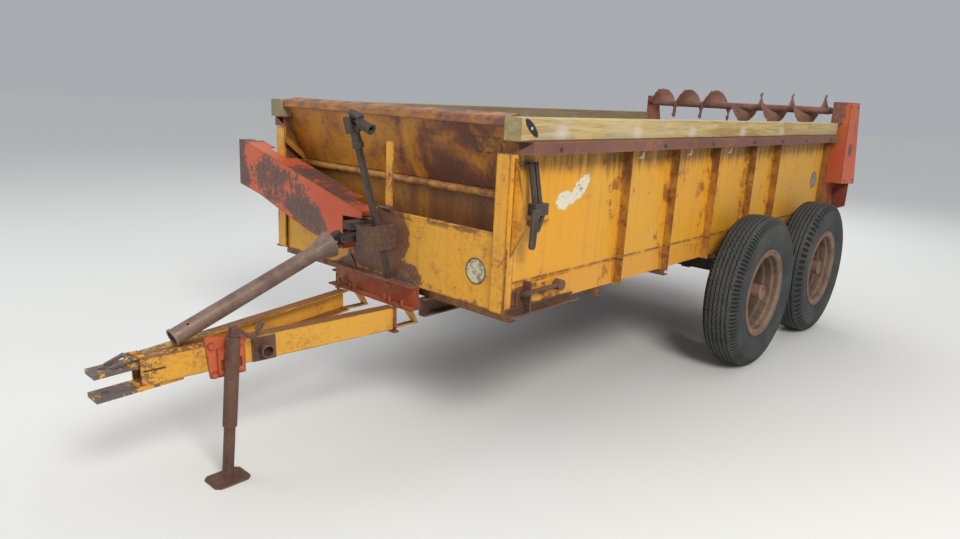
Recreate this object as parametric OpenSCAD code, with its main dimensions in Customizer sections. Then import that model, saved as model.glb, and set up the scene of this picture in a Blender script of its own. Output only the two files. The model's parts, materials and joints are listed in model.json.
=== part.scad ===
// Pull-type tandem-axle manure spreader, millimetres.
// X runs forward to the hitch, Y to the machine's left, Z up from the ground.
// Sizes below are measured from the front plane of the box, its centre line and the ground.

/* [Box] */
// Outside width of the box
box_w = 1748; // [1600:4:1900]
// Length of the side sheets, from the front plane to the end posts
side_len = 4000; // [3900:10:4300]
// Height of the side sheets' lower edge above the ground
box_z = 741; // [720:5:780]
// Height of a side sheet, from its lower edge to the rail
side_h = 694; // [600:2:800]
// Thickness of the side, head and front sheets
sheet_t = 4; // [3:0.5:6]
// Height of the lap between the lower strip and the side sheet
lap_z = 140; // [120:5:160]
// Reach of an upright's front leg from the sheet
rib_depth = 52; // [35:1:60]
// Width of an upright's leg on the sheet
rib_leg = 50; // [35:1:60]
// Thickness of the uprights
rib_t = 5; // [4:0.5:8]
// Widest size of a front corner post
post_w = 75; // [60:1:90]
// Narrow size of a front corner post
post_d = 58; // [50:1:70]

/* [Rails and timbers] */
// Height of the folded top rail
rail_h = 55; // [45:1:70]
// Reach of the rail outside the side sheet
rail_out = 86; // [75:1:95]
// Width of the timber that lies on the rail
timber_w = 93; // [80:1:100]
// Height of the timber
timber_h = 96; // [80:1:110]
// Reach of the timber outside the side sheet
timber_out = 51; // [40:1:60]
// Reach of the timber behind the end posts
timber_behind = 100; // [60:5:140]

/* [Headboard] */
// Height of the headboard's top above the box's lower edge
head_top = 858; // [840:2:900]
// Height of the knee tube above the box's lower edge
knee_z = 490; // [450:2:540]
// Set-back of the knee behind the front plane
knee_back = 160; // [120:2:200]
// Diameter of the knee tube
knee_d = 38; // [30:1:48]
// Height of the lower front panel
panel_h = 340; // [320:2:360]

/* [Floor and apron] */
// Height of the floor's upper face above the box's lower edge
floor_top = 127; // [120:1:135]
// Thickness of the floor boards
floor_t = 25; // [18:1:30]
// Pitch radius of the apron sprockets
sprocket_r = 50; // [46:1:54]
// Thickness of the apron chain
chain_t = 16; // [12:1:18]
// Width of the apron chain
chain_w = 30; // [24:1:36]
// Distance of the chain's outer face from the side sheet
chain_gap = 60; // [50:1:80]
// Set-back of the front idler shaft
idler_back = 360; // [330:5:400]
// Distance of the rear drive shaft ahead of the end posts
drive_ahead = 120; // [100:5:200]
// Diameter of the apron shafts
apron_shaft_d = 40; // [35:1:45]
// Number of slats along the top run
slat_n = 11; // [8:1:13]
// Height of a slat
slat_h = 28; // [22:1:30]
// Width of a slat's foot
slat_foot = 40; // [30:1:45]
// Pitch of the apron chain's links
link_pitch = 60; // [50:1:70]
// Number of floor planks
plank_n = 9; // [7:1:12]

/* [Frame] */
// Height of the cross members
cross_h = 50; // [40:1:60]
// Height of the two long sills
sill_h = 90; // [80:1:100]
// Width of a sill's flange
sill_w = 45; // [40:1:55]
// Distance of a sill's web from the centre line
sill_y = 330; // [300:5:360]

/* [Tongue] */
// Height of a tongue channel
tongue_h = 114; // [100:1:125]
// Flange width of a tongue channel
tongue_flange = 58; // [45:1:60]
// Plate thickness of the tongue channels
tongue_t = 8; // [6:1:10]
// Reach of the channels in front of the box
tongue_reach = 1225; // [1100:5:1300]
// Half spread of the channels at the front plane of the box
tongue_spread = 230; // [215:1:240]
// Half spread of the channels at their front end
tongue_tip = 46; // [40:1:60]
// Drop of the tongue's top below the box's lower edge, at the front plane
tongue_drop = 114; // [100:1:120]
// Downward slope of the tongue towards the hitch, in degrees
tongue_slope = 1.75; // [0:0.05:3]
// Reach of the hitch plates' nose beyond the channels
hitch_out = 170; // [150:5:200]
// Distance of the pin's hole behind the nose
hole_in = 45; // [40:1:60]
// Diameter of the hitch pin's hole
hitch_hole_d = 33; // [25:0.5:40]
// Thickness of a hitch plate
hitch_t = 20; // [12:1:22]
// Width of a hitch plate's nose
hitch_w = 92; // [80:1:100]
// Width of the bolster
bolster_w = 660; // [600:10:700]
// Depth of the bolster's flanges
bolster_d = 56; // [50:1:65]

/* [Jack] */
// Reach of the jack from the box, at the top of its tube
jack_x = 884; // [860:2:900]
// Distance of the jack's axis from the centre line
jack_y = 152; // [148:1:160]
// Forward lean of the jack's foot, in degrees
jack_lean = 4.3; // [0:0.1:6]
// Height of the jack's top above the ground
jack_top_z = 636; // [600:2:660]
// Diameter of the jack's outer tube
jack_d = 60; // [50:1:65]
// Length of the jack's outer tube
jack_len = 392; // [360:2:400]
// Diameter of the jack's inner leg
leg_d = 48; // [38:1:50]
// Length of the foot plate
foot_len = 165; // [120:5:200]
// Width of the foot plate
foot_w = 130; // [100:5:160]
// Thickness of the foot plate
foot_t = 8; // [6:1:12]

/* [Drive line] */
// Height of the input shaft above the box's lower edge
input_z = 215; // [205:1:225]
// Reach of the shaft's cross joint from the box
joint_x = 232; // [220:1:250]
// Outside diameter of the power shaft's tube
pto_d = 74; // [68:1:80]
// Wall of the power shaft's tube
pto_wall = 5; // [3:0.5:8]
// Length from the cross joint to the tube's open end
pto_len = 900; // [850:5:950]
// Droop of the resting power shaft, in degrees
pto_droop = 21.15; // [20:0.05:24]
// Height of the line shaft above the box's lower edge
line_z = 440; // [430:1:450]
// Distance of the line shaft from the side sheet
line_out = 111; // [105:1:125]
// Diameter of the line shaft
line_d = 34; // [28:1:40]
// Reach of the front chain case from the box
case_front = 100; // [85:1:110]
// Set-back of the case's cover plate behind the front plane
case_back = 50; // [30:1:70]
// Reach of the case past the line shaft
case_past = 165; // [150:5:180]
// Height of the case's near end above the box's lower edge
case_high = 334; // [320:2:345]
// Rise of the case's top for each millimetre across
case_rise = 0.2368; // [0.2:0.0002:0.25]
// Diameter of a cross joint's bars
cross_d = 22; // [18:1:24]
// Width of a yoke's ears
ear_w = 34; // [30:1:36]
// Thickness of a yoke's ears
ear_t = 14; // [10:1:16]
// Distance between a yoke's ears
ear_gap = 48; // [44:1:54]
// Rearward lean of the stored shaft's foot, in degrees
stored_lean = 17; // [12:0.5:20]
// Distance of the stored shaft from the centre line
stored_y = 128; // [120:1:135]
// Width of the stored shaft's square bar
stored_bar = 26; // [20:1:30]
// Length of the stored shaft's bar up to its yoke
stored_len = 690; // [600:5:720]

/* [Beaters] */
// Distance of the upper beater's axis behind the end posts
upper_behind = 200; // [190:5:220]
// Height of the upper beater's axis above the box's lower edge
upper_z = 940; // [930:1:960]
// Radius of the upper beater's flights
upper_r = 138; // [120:1:145]
// Diameter of the upper beater's tube
upper_d = 60; // [50:1:70]
// Pitch of the upper beater's flights
upper_pitch = 270; // [240:5:300]
// Distance of the lower beater's axis behind the end posts
lower_behind = 330; // [325:5:350]
// Height of the lower beater's axis above the box's lower edge
lower_z = 440; // [430:1:450]
// Radius of the lower beater's flights
lower_r = 240; // [200:5:245]
// Diameter of the lower beater's tube
lower_d = 114; // [90:1:130]
// Pitch of the lower beater's flights
lower_pitch = 400; // [340:5:440]
// Thickness of the bearing plates
plate_t = 8; // [6:1:10]
// Length of a knife on the flights' edge
knife_w = 44; // [30:1:50]
// Reach of a knife beyond its flight
knife_out = 5; // [3:1:10]
// Reach of the chain cover outside the side sheet
cover_out = 128; // [115:1:140]

/* [Running gear] */
// Outside diameter of a tyre
tyre_d = 1000; // [980:2:1020]
// Width of a tyre
tyre_w = 235; // [220:1:240]
// Diameter of the rim at its flanges
rim_d = 579; // [570:1:590]
// Gap between a side sheet and the tyres
tyre_gap = 74; // [70:1:90]
// Radius of the rim's bead seats
bead_r = 254; // [245:1:260]
// Distance between the two wheels of a side
tandem = 1135; // [1100:5:1180]
// Distance of the walking beams' pivot ahead of the end posts
tandem_ahead = 1123; // [1100:1:1140]
// Height of a walking beam at its pivot
beam_h = 150; // [120:2:160]
// Width of a walking beam
beam_w = 80; // [70:1:85]
// Diameter of a hub's outer tube
hub_d = 98; // [90:1:110]
// Radius of the circle of a wheel disc's hand holes
hand_r = 158; // [150:1:165]
// Diameter of a wheel disc's hand holes
hand_d = 84; // [60:1:90]
// Diameter of a wheel spindle
spindle_d = 60; // [50:1:65]

/* [Hidden] */
half_w = box_w / 2;
timber_in = half_w + timber_out - timber_w;
seat_gap = 0.3;
post_front = 18;
post_back = post_d - post_front;
rail_z = box_z + side_h;
rail_top = rail_z + rail_h;
axle_z = tyre_d / 2;
tyre_in = half_w + tyre_gap;
tyre_mid = tyre_in + tyre_w / 2;
floor_z = box_z + floor_top;
apron_z = floor_z + chain_t / 2 - sprocket_r;
chain_y = half_w - chain_gap - chain_w / 2;
sill_top = box_z - cross_h;
sill_z = sill_top - sill_h;
tongue_z = box_z - tongue_drop;
tongue_turn = atan((tongue_spread - tongue_tip) / tongue_reach);
hitch_reach = tongue_reach + hitch_out;
hitch_hole_x = hitch_reach - hole_in;
head_z = box_z + head_top;
run_fit = 0.05;
touch = 0.01;
line_y = half_w + line_out;
drive_back = side_len - drive_ahead;
tandem_back = side_len - tandem_ahead;
upper_back = side_len + upper_behind;
lower_back = side_len + lower_behind;
rear_reach = lower_back + lower_r + knife_out;
ear_y = (ear_gap + ear_t) / 2;
case_end = 10;
mid_x = (hitch_reach - rear_reach) / 2;
rib_places = [872, 1376, 1895, 2465, 2900];
hook_places = [935, 1460, 1990];

yellow = [0.88, 0.62, 0.15];
red = [0.78, 0.29, 0.18];
brown = [0.36, 0.24, 0.2];
steel = [0.32, 0.29, 0.27];
wood = [0.74, 0.68, 0.5];
rubber = [0.16, 0.17, 0.17];

// Moves a piece from the box's front plane to the origin under the machine's middle
module place() { translate([-mid_x, 0, 0]) children(); }

// A piece and its mirror image on the right side
module both_sides() {
  children();
  mirror([0, 1, 0]) children();
}

// A plan outline raised from z_low by height
module raised(z_low, height) { translate([0, 0, z_low]) linear_extrude(height) children(); }

// A section drawn in X and Z, run from y_low to y_high
module across(y_low, y_high) {
  translate([0, y_high, 0]) rotate([90, 0, 0]) linear_extrude(y_high - y_low) children();
}

// A section drawn in Y and Z, run from x_low to x_high
module along(x_low, x_high) {
  translate([x_low, 0, 0]) rotate([90, 0, 90]) linear_extrude(x_high - x_low) children();
}

// A round bar along X
module bar_x(x_low, x_high, y, z, d) {
  translate([x_low, y, z]) rotate([0, 90, 0]) cylinder(h = x_high - x_low, d = d, $fn = 48);
}

// A round bar along Y
module bar_y(x, y_low, y_high, z, d) {
  translate([x, y_low, z]) rotate([-90, 0, 0]) cylinder(h = y_high - y_low, d = d, $fn = 48);
}

// A box given by its lowest corner and its size
module block(x, y, z, size) { translate([x, y, z]) cube(size); }

// A yoke: X from the cross to its hub, ears and their eyes along Y
module yoke(hub_dia, hub_end) {
  arm = 62;
  for (side = [-1, 1]) {
    block(0, side * ear_y - ear_t / 2, -ear_w / 2, [arm, ear_t, ear_w]);
    bar_y(0, side * ear_y - ear_t / 2, side * ear_y + ear_t / 2, 0, ear_w);
  }
  block(arm - 12, -ear_y - ear_t / 2, -ear_w / 2, [12, 2 * ear_y + ear_t, ear_w]);
  bar_x(arm - 2, hub_end, 0, 0, hub_dia);
}

module side_sheet() {
  lap = 16;
  rear = side_len + rib_leg;
  long = rear - post_back;
  block(-rear, half_w - sheet_t, box_z + lap_z - lap, [long, sheet_t, side_h - lap_z + lap]);
  block(-rear, half_w - 2 * sheet_t, box_z, [long, sheet_t, lap_z]);
  floor_angle();
  for (back = rib_places) upright(back);
  corner_plate();
}

// Angle inside the sheet that carries the floor boards
module floor_angle() {
  leg = 34;
  clear = sprocket_r + 24;
  long = drive_back - idler_back - 2 * clear;
  block(-drive_back + clear, half_w - 2 * sheet_t - leg, floor_z - floor_t - 4, [long, leg + 1, 4]);
}

// Upright of angle section, one leg on the sheet and one standing out at its front
module upright(back) {
  block(-back - rib_t, half_w - 1, box_z, [rib_t, rib_depth + 1, side_h]);
  block(-back - rib_leg, half_w - 1, box_z, [rib_leg, rib_t + 1, side_h]);
}

// Doubler plate on the lower front corner, under the take-up
module corner_plate() {
  block(-470, half_w - 4, box_z, [400, 8, lap_z - 20]);
}

module side_left() { color(yellow) place() side_sheet(); }
module side_right() { color(yellow) place() mirror([0, 1, 0]) side_sheet(); }

// Folded rail: top plate, leg behind the side sheet, outer face and return lip
module rail_section() {
  inner = timber_in - 4;
  outer = half_w + rail_out;
  lip = outer - 22;
  polygon([
    [inner, rail_top], [inner, rail_top - sheet_t], [half_w - sheet_t, rail_top - sheet_t],
    [half_w - sheet_t, rail_z], [half_w, rail_z], [half_w, rail_top - sheet_t],
    [outer - sheet_t, rail_top - sheet_t], [outer - sheet_t, rail_z + sheet_t],
    [lip, rail_z + sheet_t], [lip, rail_z], [outer, rail_z], [outer, rail_top]
  ]);
}

// Plate that closes the rail's front end
module rail_end() {
  outer = half_w + rail_out;
  inner = half_w - sheet_t;
  polygon([[inner, rail_z], [outer, rail_z], [outer, rail_top], [inner, rail_z + 6]]);
}

// Hook of square bar under the rail, its foot turned forward
module tie_hook(back) {
  bar = 8;
  drop = 38;
  foot = 42;
  y_out = half_w + rail_out - 6;
  across(y_out - bar, y_out) translate([-back, rail_z]) polygon([
    [0, 2], [bar, 2], [bar, -drop + 16], [bar + 8, -drop + bar], [foot, -drop + bar], [foot, -drop],
    [bar, -drop], [0, -drop + bar]
  ]);
}

module rails() {
  front = -26;
  color(brown) place() both_sides() {
    along(-side_len - 82, front) rail_section();
    along(front - sheet_t, front) rail_end();
    for (back = hook_places) tie_hook(back);
  }
}

module timbers() {
  bevel = 5;
  front = 20;
  color(wood) place() both_sides() along(-side_len - timber_behind, front)
    translate([timber_in, rail_top]) polygon([
      [bevel, 0], [timber_w - bevel, 0], [timber_w, bevel], [timber_w, timber_h - bevel],
      [timber_w - bevel, timber_h], [bevel, timber_h], [0, timber_h - bevel], [0, bevel]
    ]);
}

// Sloping upper wall, knee tube, lower wall and folded top rail
module headboard() {
  inside = half_w - sheet_t - seat_gap;
  between = timber_in - sheet_t - seat_gap;
  knee = box_z + knee_z;
  slope = (knee_back - 30) / (head_z - 48 - knee);
  neck = rail_top - sheet_t - 6;
  neck_x = -knee_back + (neck - knee) * slope;
  color(yellow) place() {
    across(-between, between) polygon([
      [-30, head_z - 48], [-30 - sheet_t, head_z - 48], [neck_x - sheet_t, neck - 1], [neck_x, neck - 1]
    ]);
    across(-inside, inside) polygon([
      [neck_x, neck], [neck_x - sheet_t, neck], [-knee_back - sheet_t, knee], [-knee_back, knee]
    ]);
    across(-inside, inside) polygon([
      [-knee_back, knee], [-knee_back - sheet_t, knee], [-knee_back - sheet_t, floor_z + slat_h + 14],
      [-knee_back, floor_z + slat_h + 14]
    ]);
    bar_y(-knee_back + knee_d / 2 - 2, -inside, inside, knee, knee_d);
    across(-between, between) head_rail();
    both_sides() across(inside - 34, inside - 28) polygon([
      [-4, box_z + 655], [-4, box_z + 612], [-knee_back, knee - 4], [-knee_back, knee + 38]
    ]);
  }
}

// Folded top rail: sloping top, upright face and return lip
module head_rail() {
  t = 5;
  translate([0, head_z]) polygon([
    [-78, -4], [-74, 0], [-4, -14], [4, -24], [4, -52], [-38, -52],
    [-38, -52 + t], [4 - t, -52 + t], [4 - t, -26], [-8, -14 - t], [-78, -4 - t]
  ]);
}

// Front panel with its folded edges, the upright strap and the shaft holder
module front_panel() {
  side = half_w - post_w + 5;
  lip = 44;
  color(yellow) place() {
    difference() {
      block(-sheet_t, -side, box_z, [sheet_t, 2 * side, panel_h]);
      bar_x(-10, 10, 0, box_z + input_z, 50);
    }
    block(-lip, -side, box_z + panel_h - sheet_t, [lip, 2 * side, sheet_t]);
    block(-lip, -side, box_z, [lip, 2 * side, sheet_t]);
    bar_y(-10, -side, side, box_z + panel_h - 2, 18);
    block(-10, 60, box_z + panel_h - 2, [6, 50, 346]);
    bar_y(4, 24, 112, box_z + panel_h + 16, 18);
  }
  color(brown) place() shaft_holder();
}

// Strap bracket on the front panel that holds the stored half shaft
module shaft_holder() {
  t = 6;
  gap = 12;
  wide = stored_bar + 2 * gap + 2 * t;
  y = stored_y - wide / 2;
  long = 204;
  low = box_z + 165;
  high = box_z + 290;
  difference() {
    block(-1, y, low, [long + 1, wide, high - low]);
    block(-2, y + t, low - 1, [long + 2 - t, wide - 2 * t, high - low + 2]);
  }
}

// Front corner post of angle section, with the open corner slit at its foot
module corner_post() {
  t = 5;
  difference() {
    union() {
      block(post_front - t, half_w - post_w, box_z, [t, post_w, side_h]);
      block(-post_back, half_w - t, box_z, [post_d, t, side_h]);
    }
    block(post_front - t - 6, half_w - t - 1, box_z - 1, [6, t + 2, 292]);
  }
}

// Gusset and shelf on the left corner post, which carry the latch
module latch_bracket() {
  x = -16;
  t = 6;
  shelf_z = box_z + 392;
  reach = 78;
  top = box_z + 674;
  translate([0, half_w, 0]) {
    along(x - t, x) polygon([
      [-1, top], [10, top], [reach, shelf_z + t], [reach, shelf_z], [0, shelf_z - 142], [-1, shelf_z - 142]
    ]);
    raised(shelf_z, t) polygon([
      [x, touch], [x, reach], [x - 44, reach], [x - 254, touch + 8], [x - 254, touch]
    ]);
  }
}

module posts() {
  color(yellow) place() {
    both_sides() {
      corner_post();
      end_post();
    }
    latch_bracket();
  }
}

// End post: an upright of its own on the sheet's rear edge
module end_post() {
  block(-side_len - rib_t, half_w + touch, box_z, [rib_t, rib_depth, side_h]);
  block(-side_len - rib_leg, half_w + touch, box_z, [rib_leg, rib_t, side_h]);
}

// Planks laid lengthwise, with a seam between each two
module floor_boards() {
  inner = half_w - sheet_t - 6;
  clear = sprocket_r + 24;
  long = drive_back - idler_back - 2 * clear;
  plank = 2 * inner / plank_n;
  difference() {
    block(-drive_back + clear, -inner, floor_z - floor_t, [long, 2 * inner, floor_t]);
    for (i = [1 : plank_n - 1])
      block(-drive_back + clear - 1, i * plank - inner - 2, floor_z - 5, [long + 2, 4, 6]);
  }
}

module floor() {
  color(wood) place() floor_boards();
}

// Long sill of channel section under the cross members, open to the outside
module sill() {
  t = 7;
  difference() {
    block(-side_len + 40, sill_y, sill_z, [side_len - 40, sill_w, sill_h]);
    block(-side_len + 39, sill_y + t, sill_z + t, [side_len - 36, sill_w, sill_h - 2 * t]);
  }
}

module sills() { color(steel) place() both_sides() sill(); }

// Channels that cross under the box, open to the rear
module cross_members() {
  t = 5;
  flange = 45;
  step = (tandem_back - 60) / 4;
  places = [60, 60 + step, 60 + 2 * step, 60 + 3 * step, tandem_back, side_len - 600, side_len - 100];
  low = -flange / 2;
  color(yellow) place() for (back = places) translate([-back, 0, 0]) difference() {
    block(low, -half_w, sill_top, [flange, box_w, cross_h]);
    block(low - 1, -half_w - 1, sill_top + t, [flange - t + 1, box_w + 2, cross_h - 2 * t]);
  }
}

// Frame of the tongue: X forward along its sloping top, Z zero at its top
module on_tongue() { translate([0, 0, tongue_z]) rotate([0, tongue_slope, 0]) children(); }

// Tongue channel, open to the inside, with a torn slit in its web near the hitch
module tongue_channel() {
  tail = 48;
  long = (tongue_reach - tail) / cos(tongue_turn);
  t = tongue_t;
  corner = 14;
  on_tongue() translate([tail, tongue_spread - tail * tan(tongue_turn), 0]) rotate([0, 0, -tongue_turn])
    difference() {
      translate([0, -tongue_flange, 0]) across(0, tongue_flange) polygon([
        [0, -corner], [corner, 0], [long, 0], [long, -tongue_h], [corner, -tongue_h], [0, -tongue_h + corner]
      ]);
      block(-1, -tongue_flange - 1, -tongue_h + t, [long + 2, tongue_flange - t + 1, tongue_h - 2 * t]);
      block(long - 93, -t - 1, -56, [82, t + 2, 5]);
      tip_cut(long);
    }
  tail_strap();
}

// Bent strap from the channel's lower flange up to the bolster's back
module tail_strap() {
  low = tongue_z - tongue_h - 1;
  across(tongue_spread - 42, tongue_spread - 14) polygon([
    [70, low], [-108, low], [-20, tongue_z + 36], [-seat_gap, tongue_z + 36], [-seat_gap, tongue_z + 4],
    [-78, low + 10], [70, low + 10]
  ]);
}

// Cut that ends the inner flanges at the centre line
module tip_cut(long) {
  keep = tongue_tip - 2;
  raised(-tongue_h - 1, tongue_h + 2) polygon([
    [long + 1, -tongue_flange - 1], [long + 1, -keep], [long - 90, -tongue_flange - 1]
  ]);
}

module tongue_left() { color(yellow) place() tongue_channel(); }
module tongue_right() { color(yellow) place() mirror([0, 1, 0]) tongue_channel(); }

// Hitch plate of a given tail width, with its pin hole
module hitch_plate(x_low, z_low, width) {
  nose = (hitch_reach + (tongue_t + 8) * sin(tongue_slope)) / cos(tongue_slope);
  neck = tongue_reach + 8;
  raised(z_low, hitch_t) difference() {
    polygon([
      [x_low, -width / 2], [neck, -width / 2], [neck, -hitch_w / 2], [nose, -hitch_w / 2],
      [nose, hitch_w / 2], [neck, hitch_w / 2], [neck, width / 2], [x_low, width / 2]
    ]);
    translate([hitch_hole_x, 0]) circle(d = hitch_hole_d, $fn = 64);
  }
}

// Upper and lower hitch plate, the web between their tails and the loop on top
module hitch_clevis() {
  inner = 2 * (tongue_tip - tongue_t) - 10;
  rear = tongue_reach - 169;
  color(brown) place() on_tongue() {
    hitch_plate(rear, -tongue_t - 8 - hitch_t, inner);
    hitch_plate(rear, -tongue_h - hitch_t - touch, hitch_w);
    block(rear, -8, -tongue_h - 1, [24, 16, tongue_h - 19]);
    hitch_loop();
  }
}

// Loop of bent strap from the upper plate back onto the tongue's top
module hitch_loop() {
  nose = tongue_reach + 105;
  tail = tongue_reach - 25;
  low = -tongue_t - 9;
  for (side = [-1, 1]) across(side * 27 - 8, side * 27 + 8) polygon([
    [nose, low], [nose, low + 9], [nose - 68, 14], [tail, 10], [tail, seat_gap],
    [tongue_reach + 8, seat_gap], [nose - 66, 2], [nose - 18, low]
  ]);
  bar_y(nose - 72, -35, 35, 8, 16);
}

// Bolster channel, open to the front, with its bolts, gussets and tongue clamps
module bolster() {
  t = 8;
  low = tongue_z + seat_gap;
  high = box_z + 10;
  bolt_x = bolster_d - 16;
  color(red) place() {
    difference() {
      block(touch, -bolster_w / 2, low, [bolster_d, bolster_w, high - low]);
      block(t, -bolster_w / 2 - 1, low + t, [bolster_d + 1, bolster_w + 2, high - low - 2 * t]);
    }
    both_sides() {
      for (y = [120, 160, tongue_spread + 22])
        translate([bolt_x, y, low + t - 1]) cylinder(h = 37, d = 16, $fn = 32);
      along(touch, t) polygon([[150, high - 1], [205, high + 62], [bolster_w / 2, high - 1]]);
      tongue_clamp(low);
    }
  }
}

// Bolt and plate that clamp the channel's tail up against the bolster
module tongue_clamp(low) {
  x = bolster_d + 9;
  y = tongue_spread + 3;
  foot = low - tongue_h - 13;
  block(bolster_d - 4, y - 11, low, [24, 22, 8]);
  translate([x, y, foot]) cylinder(h = low - foot + 18, d = 14, $fn = 32);
  block(x - 15, y - 44, foot, [30, 56, 9]);
}

// Bracket plate on the left tongue channel and the slotted plate that the jack is welded to
module jack_bracket() {
  plate = 10;
  color(red) place() on_jack_web() {
    across(0, plate) polygon([[-76, 24], [88, 46], [96, 34], [82, -144], [70, -148], [-70, -148]]);
    for (at = [[72, 0], [64, -132]]) bar_y(at[0], plate - 1, plate + 12, at[1], 26);
  }
  color(steel) place() difference() {
    on_jack_web() difference() {
      block(-62, plate + touch, -132, [112, 17, 112]);
      for (x = [-50, 24]) block(x, plate - 5, -110, [14, 30, 44]);
    }
    on_jack() translate([0, 0, -jack_len]) cylinder(h = jack_len, d = jack_d + 2 * seat_gap, $fn = 64);
  }
}

// Frame on the left channel's outer face beside the jack, Y out from the face
module on_jack_web() {
  web_y = tongue_spread - jack_x * tan(tongue_turn);
  on_tongue() translate([jack_x, web_y + touch, 0]) rotate([0, 0, -tongue_turn]) children();
}

// Frame of the jack: Z up its axis, zero at the top of the outer tube
module on_jack() {
  translate([jack_x, jack_y, jack_top_z]) rotate([0, -jack_lean, 0]) children();
}

module jack_tube() {
  color(steel) place() on_jack() {
    difference() {
      translate([0, 0, -jack_len]) cylinder(h = jack_len, d = jack_d, $fn = 64);
      translate([0, 0, -jack_len - 1]) cylinder(h = jack_len - 9, d = leg_d + 4 * run_fit, $fn = 64);
    }
    cylinder(h = 14, d = jack_d - 14, $fn = 64);
    block(-26, -16, 10, [40, 32, 34]);
    crank();
  }
}

// Crank rod that leaves the jack's head to the rear, bent down and up again
module crank() {
  rod = 14;
  translate([-24, 0, 30]) rotate([0, -127, 0]) cylinder(h = 84, d = rod, $fn = 32);
  translate([-90, 0, -21]) rotate([0, -30, 0]) cylinder(h = 74, d = rod, $fn = 32);
  translate([-110, 0, 14]) rotate([0, -30, 0]) cylinder(h = 44, d = 2 * rod, $fn = 32);
}

module jack_leg() {
  long = (jack_top_z - foot_t) / cos(jack_lean);
  color(steel) place() {
    on_jack() translate([0, 0, -long - 3]) cylinder(h = long - 250, d = leg_d, $fn = 64);
    foot_x = jack_x + jack_top_z * tan(jack_lean);
    translate([foot_x, jack_y, 0]) linear_extrude(foot_t) offset_plate(foot_len, foot_w, 20);
  }
}

// Rectangle with cut corners
module offset_plate(long, wide, corner) {
  polygon([
    [-long / 2 + corner, -wide / 2], [long / 2 - corner, -wide / 2], [long / 2, -wide / 2 + corner],
    [long / 2, wide / 2 - corner], [long / 2 - corner, wide / 2], [-long / 2 + corner, wide / 2],
    [-long / 2, wide / 2 - corner], [-long / 2, -wide / 2 + corner]
  ]);
}

module jack_storage() {
  at = 728;
  size = 108;
  web_y = tongue_spread - at * tan(tongue_turn);
  color(brown) place() on_tongue() translate([at, web_y, -tongue_h / 2 - 4]) rotate([0, 0, -tongue_turn]) {
    block(-size / 2, 0, -size / 2, [size, 8, size]);
    rotate([-90, 0, 0]) translate([0, 0, 7]) difference() {
      cylinder(h = 48, d = 58, $fn = 64);
      translate([0, 0, 10]) cylinder(h = 50, d = 46, $fn = 64);
    }
  }
}

// Square bar kept upright in the holder, with its cross joint folded over at the top
module stored_shaft() {
  cross_at = stored_len + 125;
  foot_x = 21;
  foot_z = box_z + 10 + seat_gap + stored_bar / 2 * sin(stored_lean);
  fold = 109;
  color(steel) place() translate([foot_x, stored_y, foot_z]) rotate([0, stored_lean, 0]) {
    block(-stored_bar / 2, -stored_bar / 2, 0, [stored_bar, stored_bar, stored_len]);
    translate([0, 0, stored_len - 12]) cylinder(h = 30, d = 54, $fn = 48);
    translate([0, 0, cross_at]) {
      rotate([0, 0, 90]) rotate([0, 90, 0]) yoke(44, 126);
      bar_x(-ear_y - ear_t / 2 - 1, ear_y + ear_t / 2 + 1, 0, 0, cross_d);
      rotate([90 - fold, 0, 0]) {
        translate([0, 0, -ear_y - ear_t / 2 - 1]) cylinder(h = 2 * ear_y + ear_t + 2, d = cross_d, $fn = 32);
        rotate([0, 0, 90]) rotate([90, 0, 0]) difference() {
          yoke(50, 134);
          block(76, -stored_bar / 2, -stored_bar / 2, [60, stored_bar, stored_bar]);
        }
      }
    }
  }
}

// Input shaft, its bearing and bearing bracket on the front panel, and its yoke
module input_shaft() {
  z = box_z + input_z;
  color(steel) place() {
    bar_x(-knee_back + 6, joint_x - 62, 0, z, 35);
    bar_x(touch, 40, 0, z, 76);
    block(touch, -30, z + 30, [60, 60, 34]);
    block(50, -30, z + 40, [140, 60, 37]);
    bar_y(150, -42, 42, z + 58, 22);
    difference() {
      translate([joint_x, 0, z]) mirror([1, 0, 0]) yoke(58, 110);
      bar_y(joint_x, -50, 50, z, cross_d + 2 * run_fit);
    }
  }
}

// Frame of the power shaft: X forward along its axis, zero at the cross joint
module on_pto() {
  translate([joint_x, 0, box_z + input_z]) rotate([0, pto_droop, 0]) children();
}

// Cross and yoke at the rear of the power shaft
module pto_yoke() {
  half = ear_y + ear_t / 2 - 1;
  color(steel) place() on_pto() {
    bar_y(0, -half, half, 0, cross_d);
    translate([0, 0, -half - 1]) cylinder(h = 2 * half + 2, d = cross_d, $fn = 32);
    rotate([90, 0, 0]) yoke(55, 137);
  }
}

// Tube of the power shaft with its short bell and open front collar
module pto_tube() {
  r = pto_d / 2;
  color(brown) place() on_pto() difference() {
    rotate([0, 90, 0]) rotate_extrude($fn = 96) polygon([
      [r - pto_wall, 138], [r - pto_wall, pto_len], [r + 4, pto_len], [r + 4, pto_len - 8], [r, pto_len - 8],
      [r, 150], [r + 7, 128], [r + 24, 84], [r + 30, 62], [r + 26, 62], [r + 20, 82], [r + 3, 124],
      [27.5 + seat_gap, 131], [27.5 + seat_gap, 138]
    ]);
    translate([pto_len - 75, 0, 0]) rotate([55, 0, 0]) bar_y(0, -pto_d, pto_d, 0, 12);
  }
}

// Chain case across the front, from the input shaft to the line shaft
module chain_case() {
  wall = 4;
  back = post_front + seat_gap;
  color(red) place() {
    difference() {
      along(back, case_front) case_outline(0);
      along(back + wall, case_front - wall) case_outline(wall);
      bar_x(-10, 40, -line_y, box_z + line_z, line_d + 12);
    }
    along(-case_back, back + 1) cover_plate(-170, -half_w + post_w + 20, wall);
    along(-case_back / 2, back + 1) cover_plate(-half_w - rail_out, 60 - line_y - case_past, wall);
  }
}

// Height of the case's top at a place across the machine
function case_top(y) = box_z + case_high + (case_end - y) * case_rise;

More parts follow.
